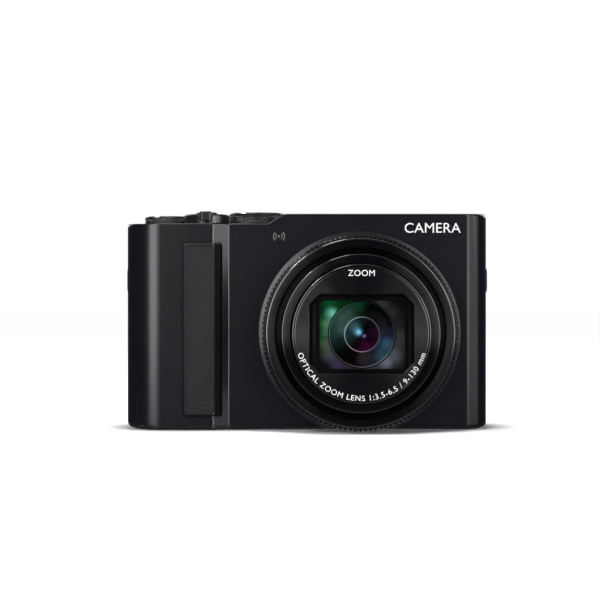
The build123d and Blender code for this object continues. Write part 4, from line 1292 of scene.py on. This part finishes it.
def make_flash():
    """The pop-up flash head, round at its hinge, with its window let into the front face."""
    ay, az, reach, low = 3.2, 63.6, 12.7, 5.0
    top = HIGH_DECK - 0.05 - az
    arc = [(ay + top * math.sin(math.radians(t)), az + top * math.cos(math.radians(t)))
           for t in range(0, 91, 6)]
    outline = arc + [(ay + 0.5, az - low), (ay - 8.0, az - low), (ay - 12.5, az - 0.5),
                     (ay - reach, az + top)]
    head = prism("flash_head", outline, "X", FLASH_LOW.x, FLASH_HIGH.x)
    window = block("flash_window", (6.0, -0.8, -2.5), (24.0, 0.8, 2.5))
    window.data.transform(Matrix.Translation(Vector((0, ay - 10.25, az - 2.75)) * MM)
                          @ Matrix.Rotation(math.radians(45), 4, "X"))
    cutter = copy_of(window)
    cover = copy_of(head)
    combine(head, [cutter, prism("pin", circle(ay, az, 0.65, 32), "X", 0, 30)])
    combine(window, [cover], "INTERSECT")
    eased(head, 0.15, 3, 40)
    dress(head, "flash_head", PAINT, ["flash_head"])
    eased(window, 0.1, 2, 40)
    dress(window, "flash_head", WINDOW, ["flash_window"])


# ------------------------------------------------------------- rear controls
def push_button(node, radius, rise, dish=0.06):
    """A round button in the rear cover with a rounded, slightly dished face."""
    at, inner = centre(node), BODY_REAR - WALL
    face = BODY_REAR + rise
    button = lathe(node, [
        (0, inner - 1.0), (radius + 0.7, inner - 1.0), (radius + 0.7, inner - 0.3),
        (radius, inner - 0.3), (radius, face - 0.35), (radius - 0.06, face - 0.15),
        (radius - 0.18, face - 0.04), (radius - 0.35, face), (radius * 0.6, face - dish * 0.7),
        (0, face - dish)], "Y", (at.x, at.z), 96)
    dress(button, node, PLASTIC, [node])


def make_cursor_pad():
    """The push buttons, the dished cursor pad and the button in its middle."""
    for node, radius in BUTTONS.items():
        push_button(node, radius, 0.5)
    at, inner, face = PAD_AT, BODY_REAR - WALL, BODY_REAR + 0.55
    pad = lathe("cursor_pad", [
        (SET_R + 0.15, inner - 1.0), (PAD_R + 0.7, inner - 1.0), (PAD_R + 0.7, inner - 0.3),
        (PAD_R, inner - 0.3), (PAD_R, face - 0.4), (PAD_R - 0.1, face - 0.15),
        (PAD_R - 0.4, face), (PAD_R - 1.2, face - 0.08), (SET_R + 1.2, face - 0.3),
        (SET_R + 0.3, face - 0.34), (SET_R + 0.15, face - 0.5)], "Y", (at.x, at.z), 192)
    dress(pad, "cursor_pad", PLASTIC, ["cursor_pad"])
    push_button("set_button", SET_R, 0.6, 0.1)


def make_rear_marks():
    """Arrows on the cursor pad and plain signs on three buttons."""
    at, face = PAD_AT, BODY_REAR + 0.55
    for k in range(4):
        turn = math.pi / 2 * k
        x, z = at.x + PAD_ARROW_R * math.cos(turn), at.z + PAD_ARROW_R * math.sin(turn)
        tip = [(x + 0.7 * math.cos(turn + a), z + 0.7 * math.sin(turn + a))
               for a in (0, 2.2, -2.2)]
        arrow = prism(f"pad_mark_{k}", tip, "Y", face - 0.3, face - 0.1)
        dress(arrow, "cursor_pad", INK)
    for node, text in (("playback_button", ">"), ("menu_button", "="), ("display_button", "i")):
        at = centre(node)
        sign = mark(node.replace("button", "mark"), text, 2.6, 0.03)
        set_on(sign, at.x, BODY_REAR + 0.45, at.z, "rear")
        dress(sign, node, INK)


def make_viewfinder():
    """The eyecup, the lens inside it and the wheel beside it."""
    cup = prism("eyecup", about_eye(8.5, 6.1, 2.2), "Y", BODY_REAR, 19.0)
    combine(cup, [prism("opening", about_eye(6.4, 3.9, 1.6), "Y", 15, 20)])
    rounded_edges(cup, lambda middle, angle: 0.7 if middle.y > 18.5 and angle > 40 else 0.0)
    dress(cup, "camera_body", RUBBER, ["eyecup"])
    lens = prism("eyepiece_lens", about_eye(6.5, 4.0, 1.0), "Y", 14.2, 15.3)
    eased(lens, 0.2, 2)
    dress(lens, "camera_body", SCREEN, ["eyepiece_lens"])
    wheel = lathe("diopter_dial", [
        (0, 55.3), (0.8, 55.3), (0.8, 56.8), (2.8, 56.8), (3.0, 56.95)]
        + [(3.0, 57.1 + 0.1 * k) for k in range(25)]
        + [(3.0, 59.65), (2.8, 59.8), (0.8, 59.8), (0.8, 61.3), (0, 61.3)], "Z", (50.2, 12.9),
        288, knurl(24, 0.2, 57.0, 59.6, 1.0))
    dress(wheel, "diopter_dial", PLASTIC, ["diopter_dial"])


def make_screen():
    glass = prism("screen_glass", rectangle((SCREEN_LOW.x, SCREEN_LOW.z),
                                            (SCREEN_HIGH.x, SCREEN_HIGH.z), 1.5), "Y", 14.3, 15.65)
    eased(glass, 0.2, 3)
    dress(glass, "camera_body", SCREEN, ["screen_glass"])


# ------------------------------------------------------------- underside and sides
def make_battery_door():
    """The door on its hinge barrel, with a ridged sliding latch."""
    door = block("battery_door", (*DOOR_LOW, 0.05), (*DOOR_HIGH, WALL))
    barrel = prism("barrel", circle(*DOOR_PIN, 0.625, 48), "X", DOOR_LOW[0], DOOR_HIGH[0])
    combine(door, [barrel], "UNION")
    recess = rectangle((-40.0, -12.9), (-27.0, -8.7), 0.8)
    combine(door, [prism("latch", recess, "Z", -1, 0.8),
                   prism("pin", circle(*DOOR_PIN, 0.35, 32), "X", -60, 0)])
    eased(door, 0.08, 2)
    dress(door, "battery_door", PAINT, ["battery_door"])
    latch = prism("door_latch", rectangle((-39.8, -12.7), (-30.2, -8.9), 0.7), "Z", 0.35, 0.75)
    grip = prism("grip", rectangle((-37.8, -12.0), (-32.2, -9.6), 0.6), "Z", 0.1, 0.5)
    combine(latch, [grip], "UNION")
    combine(latch, [block("ridge", (-37.2 + 1.1 * k, -11.6, 0), (-36.8 + 1.1 * k, -10.0, 0.2))
                    for k in range(5)])
    eased(latch, 0.05, 2)
    dress(latch, "door_latch", PLASTIC, ["door_latch"])


def make_terminal_door():
    flap = block("terminal_door", (-HALF_WIDTH, *FLAP_LOW), (-54.3, *FLAP_HIGH))
    barrel = prism("barrel", circle(*FLAP_PIN, 0.65, 48), "Z", FLAP_LOW[1], FLAP_HIGH[1])
    combine(flap, [barrel], "UNION")
    combine(flap, [prism("pin", circle(*FLAP_PIN, 0.35, 32), "Z", 20, 60)])
    eased(flap, 0.12, 3)
    dress(flap, "terminal_door", PAINT, ["terminal_door"])


def make_strap_lugs():
    """A lined pocket with an upright bar in each side."""
    for side in (-1, 1):
        lug = lug_pocket(side, 0.0)
        combine(lug, [block("outer", (side * 56.05, -20, 30) if side > 0 else (-SIDE, -20, 30),
                            (SIDE, 20, 60) if side > 0 else (-56.05, 20, 60)),
                      prism("hollow", rectangle((-7.4, 43.1), (-4.6, 49.0), 1.3), "X",
                            *sorted((side * 53.5, side * 57.0)))])
        bar = prism("bar", circle(side * LUG_BAR[0], LUG_BAR[1], 0.65, 48), "Z", 42.8, 49.3)
        combine(lug, [bar], "UNION")
        eased(lug, 0.12, 2)
        dress(lug, "camera_body", DIAL, ["strap_lugs"] if side < 0 else [])


def make_tripod_socket():
    """The threaded socket: ridges 0.4 mm apart inside a flanged sleeve."""
    socket = lathe("tripod_socket", [
        (3.175, 0.35), (3.5, 0.0), (4.85, 0.0), (5.0, 0.12), (5.0, 1.3), (6.4, 1.3), (6.4, 2.2),
        (5.0, 2.2), (5.0, 5.4), (0, 5.4), (0, 4.9)]
        + [(3.175 + (0.0 if k % 2 else 0.3), 4.7 - 0.2 * k) for k in range(22)],
        "Z", (0, 0), 128)
    dress(socket, "camera_body", STEEL, ["tripod_socket"])


def make_screws():
    """Cross-headed screws; the four stand in for one CAD node."""
    for k, (x, y) in enumerate(SCREWS):
        screw = lathe(f"screw_{k}", [(0, 0.14), (0.9, 0.1), (1.4, 0.16), (1.5, 0.3), (1.5, 0.75),
                                     (0.7, 0.75), (0.7, 2.5), (0, 2.5)], "Z", (x, y), 64)
        combine(screw, [block("slot", (x - 0.9, y - 0.17, -1), (x + 0.9, y + 0.17, 0.45)),
                        block("slot", (x - 0.17, y - 0.9, -1), (x + 0.17, y + 0.9, 0.45))])
        dress(screw, "camera_body", DIAL, ["screws"] if k == 0 else [])


# ------------------------------------------------------------- generic lettering
def bent(made, radius, middle, y):
    """Lays flat lettering along the lower arc of a circle about the optical axis."""
    for vertex in made.data.vertices:
        turn = middle + vertex.co.x / MM / radius
        reach = radius - vertex.co.y / MM
        vertex.co = Vector((LENS.x + reach * math.cos(turn), y - vertex.co.z / MM,
                            LENS.z + reach * math.sin(turn))) * MM


def make_lettering():
    word = mark("front_word", "CAMERA", 4.35, 0.02, 1.03)
    set_on(word, 38.5, BODY_FRONT - 0.01, 61.95, "front")
    dress(word, "camera_body", INK)

    face = FACE_Y + 0.1
    word = mark("lens_word", "ZOOM", 2.55, 0.02, 1.08)
    set_on(word, LENS.x, face - 0.01, LENS.z + 18.0, "front")
    dress(word, "barrel_2", INK)
    words = mark("lens_words", "OPTICAL ZOOM LENS 1:3.5-6.5 / 9-130 mm", 2.35, 0.02, 1.12)
    bent(words, 19.25, math.radians(-90), face - 0.01)
    dress(words, "barrel_2", INK)


def make_symbol():
    """A small generic symbol beside the lens: a dot between two pairs of arcs."""
    at, half = Vector((-8.7, 59.5)), 0.14
    low, high = BODY_FRONT - 0.025, BODY_FRONT + 0.01
    for k, (radius, start) in enumerate(((1.0, -0.8), (1.7, -0.8), (1.0, 2.34), (1.7, 2.34))):
        sweep = [start + 1.6 * j / 16 for j in range(17)]
        arc = [(at.x + (radius + half) * math.cos(a), at.y + (radius + half) * math.sin(a))
               for a in sweep]
        arc += [(at.x + (radius - half) * math.cos(a), at.y + (radius - half) * math.sin(a))
                for a in reversed(sweep)]
        line = prism(f"symbol_{k}", arc, "Y", low, high)
        dress(line, "camera_body", GREY_INK)
    dot = prism("symbol_dot", circle(*at, 0.35, 32), "Y", low, high)
    dress(dot, "camera_body", GREY_INK)


# ------------------------------------------------------------- pieces kept from the CAD
KEPT = {
    BOARD: ["main_board", "button_board"],
    PANEL: ["lcd_panel", "image_sensor"],
    STEEL: ["chassis_frame", "hinge_pins", "speaker", "zoom_motor"],
    WRAP: ["battery", "flash_capacitor", "memory_card"],
    PLASTIC: ["battery_holder", "terminal_ports", "viewfinder_module"],
    INNER_BLACK: ["shutter_unit"],
    SCREEN: ["second_lens_group", "focus_lens_group"],
}


def dress_kept():
    for material, names in KEPT.items():
        for name in names:
            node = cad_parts[name]
            node.data.materials.clear()
            node.data.materials.append(material)


# ------------------------------------------------------------- stage, light and camera
# Softboxes: name, place, aim, size in millimetres, radiance, beam angle in degrees.
LIGHTS = [
    ("front_left_box", (-297, -650, 195), (0, 0, 40), (265, 450), 6.2, 180),
    ("front_right_box", (275, -650, 195), (0, 0, 40), (130, 450), 4.4, 180),
    ("right_wide_box", (560, -400, 160), (0, 0, 40), (480, 420), 1.3, 180),
    ("key_box", (-440, -90, 560), (0, 0, 40), (140, 120), 56.0, 180),
    ("flank_box", (115, -93, 96), (-26, -16, 60), (60, 70), 5.5, 34),
    ("flank_fill_box", (118, -183, 50), (-26, -16, 35), (60, 200), 15.0, 28),
    ("low_deck_box", (-46, -20, 260), (-46, -16, 63), (60, 160), 9.0, 180),
    ("top_box", (60, 120, 800), (0, 0, 60), (500, 400), 1.0, 180),
    ("rear_left_box", (420, 640, 360), (0, 0, 30), (420, 420), 3.0, 180),
    ("rear_right_box", (-420, 640, 360), (0, 0, 30), (420, 420), 3.0, 180),
    ("rear_low_box", (0, 640, -262), (0, 0, 40), (760, 440), 1.3, 180),
]
CAMERA_AT = (-2.23, -615.5, 39.77)
SENSOR_WIDTH = 36.0
VIEW_LENGTH = 3.2446                            # focal length over sensor width


def area_light(name, at, towards, size, radiance, beam):
    """A softbox; a narrow beam keeps the radiance along its axis."""
    lamp = bpy.data.lights.new(name, "AREA")
    lamp.shape, lamp.size, lamp.size_y = "RECTANGLE", size[0] * MM, size[1] * MM
    lamp.energy = radiance * math.pi * lamp.size * lamp.size_y
    if beam < 180:
        half = math.radians(beam / 2)
        lamp.spread = 2 * half
        lamp.energy *= 1 - half / math.tan(half)
    made = bpy.data.objects.new(name, lamp)
    bpy.context.scene.collection.objects.link(made)
    made.location = Vector(at) * MM
    made.rotation_euler = (Vector(towards) - Vector(at)).to_track_quat("-Z", "Y").to_euler()
    made.visible_camera = False


def make_floor():
    """A pale floor seen by the camera alone, whose contact shadow is its own occlusion."""
    floor = block("floor", (-4000, -1500, -4), (4000, 6000, 0))
    paper = finish_of("pale_floor", grey(0.28), grey(0.32), (0.8, 0.9), grain=40, depth=0, blotch=400)
    nodes, links = paper.node_tree.nodes, paper.node_tree.links
    surface = nodes["Principled BSDF"]
    open_sky = nodes.new("ShaderNodeAmbientOcclusion")
    open_sky.inputs["Distance"].default_value = 16 * MM
    links.new(ramp(nodes, links, open_sky.outputs["AO"], grey(0.03), grey(1.0), 0.50, 0.95),
              surface.inputs["Emission Color"])
    surface.inputs["Emission Strength"].default_value = 0.97
    floor.data.materials.append(paper)
    floor.visible_glossy = False
    floor.visible_diffuse = False
    floor.visible_shadow = False


def make_world():
    """White behind the camera's own view; a dim room with a pale ground for everything else."""
    world = bpy.data.worlds.new("studio")
    bpy.context.scene.world = world
    world.use_nodes = True
    nodes, links = world.node_tree.nodes, world.node_tree.links
    seen = nodes.new("ShaderNodeBackground")
    seen.inputs["Color"].default_value = (1, 1, 1, 1)
    lit = nodes["Background"]
    where = nodes.new("ShaderNodeTexCoord")
    axes = nodes.new("ShaderNodeSeparateXYZ")
    links.new(where.outputs["Generated"], axes.inputs["Vector"])
    bounce = mapped(nodes, links, axes.outputs["Z"], (-0.5, -0.14))
    links.new(ramp(nodes, links, bounce, (0.26, 0.27, 0.30), (0.045, 0.050, 0.080), 0.0, 1.0),
              lit.inputs["Color"])
    path = nodes.new("ShaderNodeLightPath")
    choose = nodes.new("ShaderNodeMixShader")
    links.new(path.outputs["Is Camera Ray"], choose.inputs["Fac"])
    links.new(lit.outputs["Background"], choose.inputs[1])
    links.new(seen.outputs["Background"], choose.inputs[2])
    links.new(choose.outputs["Shader"], nodes["World Output"].inputs["Surface"])


def make_lights():
    for light in LIGHTS:
        area_light(*light)


def make_camera():
    """The camera looks straight at the front, from where the photo was taken."""
    scene = bpy.context.scene
    scene.view_settings.view_transform = "Standard"
    camera = bpy.data.cameras.new("camera")
    camera.sensor_width, camera.lens = SENSOR_WIDTH, VIEW_LENGTH * SENSOR_WIDTH
    camera.clip_start = 0.01
    holder = bpy.data.objects.new("camera", camera)
    scene.collection.objects.link(holder)
    holder.location = Vector(CAMERA_AT) * MM
    holder.rotation_euler = (math.pi / 2, 0, 0)
    scene.camera = holder


make_covers()
make_deck_edge()
make_grip_strip()
make_thumb_pad()
make_flange()
make_control_ring()
make_fixed_barrel()
make_barrel_1()
make_barrel_2()
make_aperture()
make_face_plate()
make_blades()
make_front_group()
make_inner_elements()
make_mode_dial()
make_dial("control_dial", CONTROL_AT, CONTROL_R, 66.4, 624, (60, 0.40, 3))
make_zoom_lever()
make_shutter_button()
make_slides()
make_movie_button()
make_flash()
make_cursor_pad()
make_rear_marks()
make_viewfinder()
make_screen()
make_battery_door()
make_terminal_door()
make_strap_lugs()
make_tripod_socket()
make_screws()
make_lettering()
make_symbol()
dress_kept()
make_floor()
make_world()
make_lights()
make_camera()
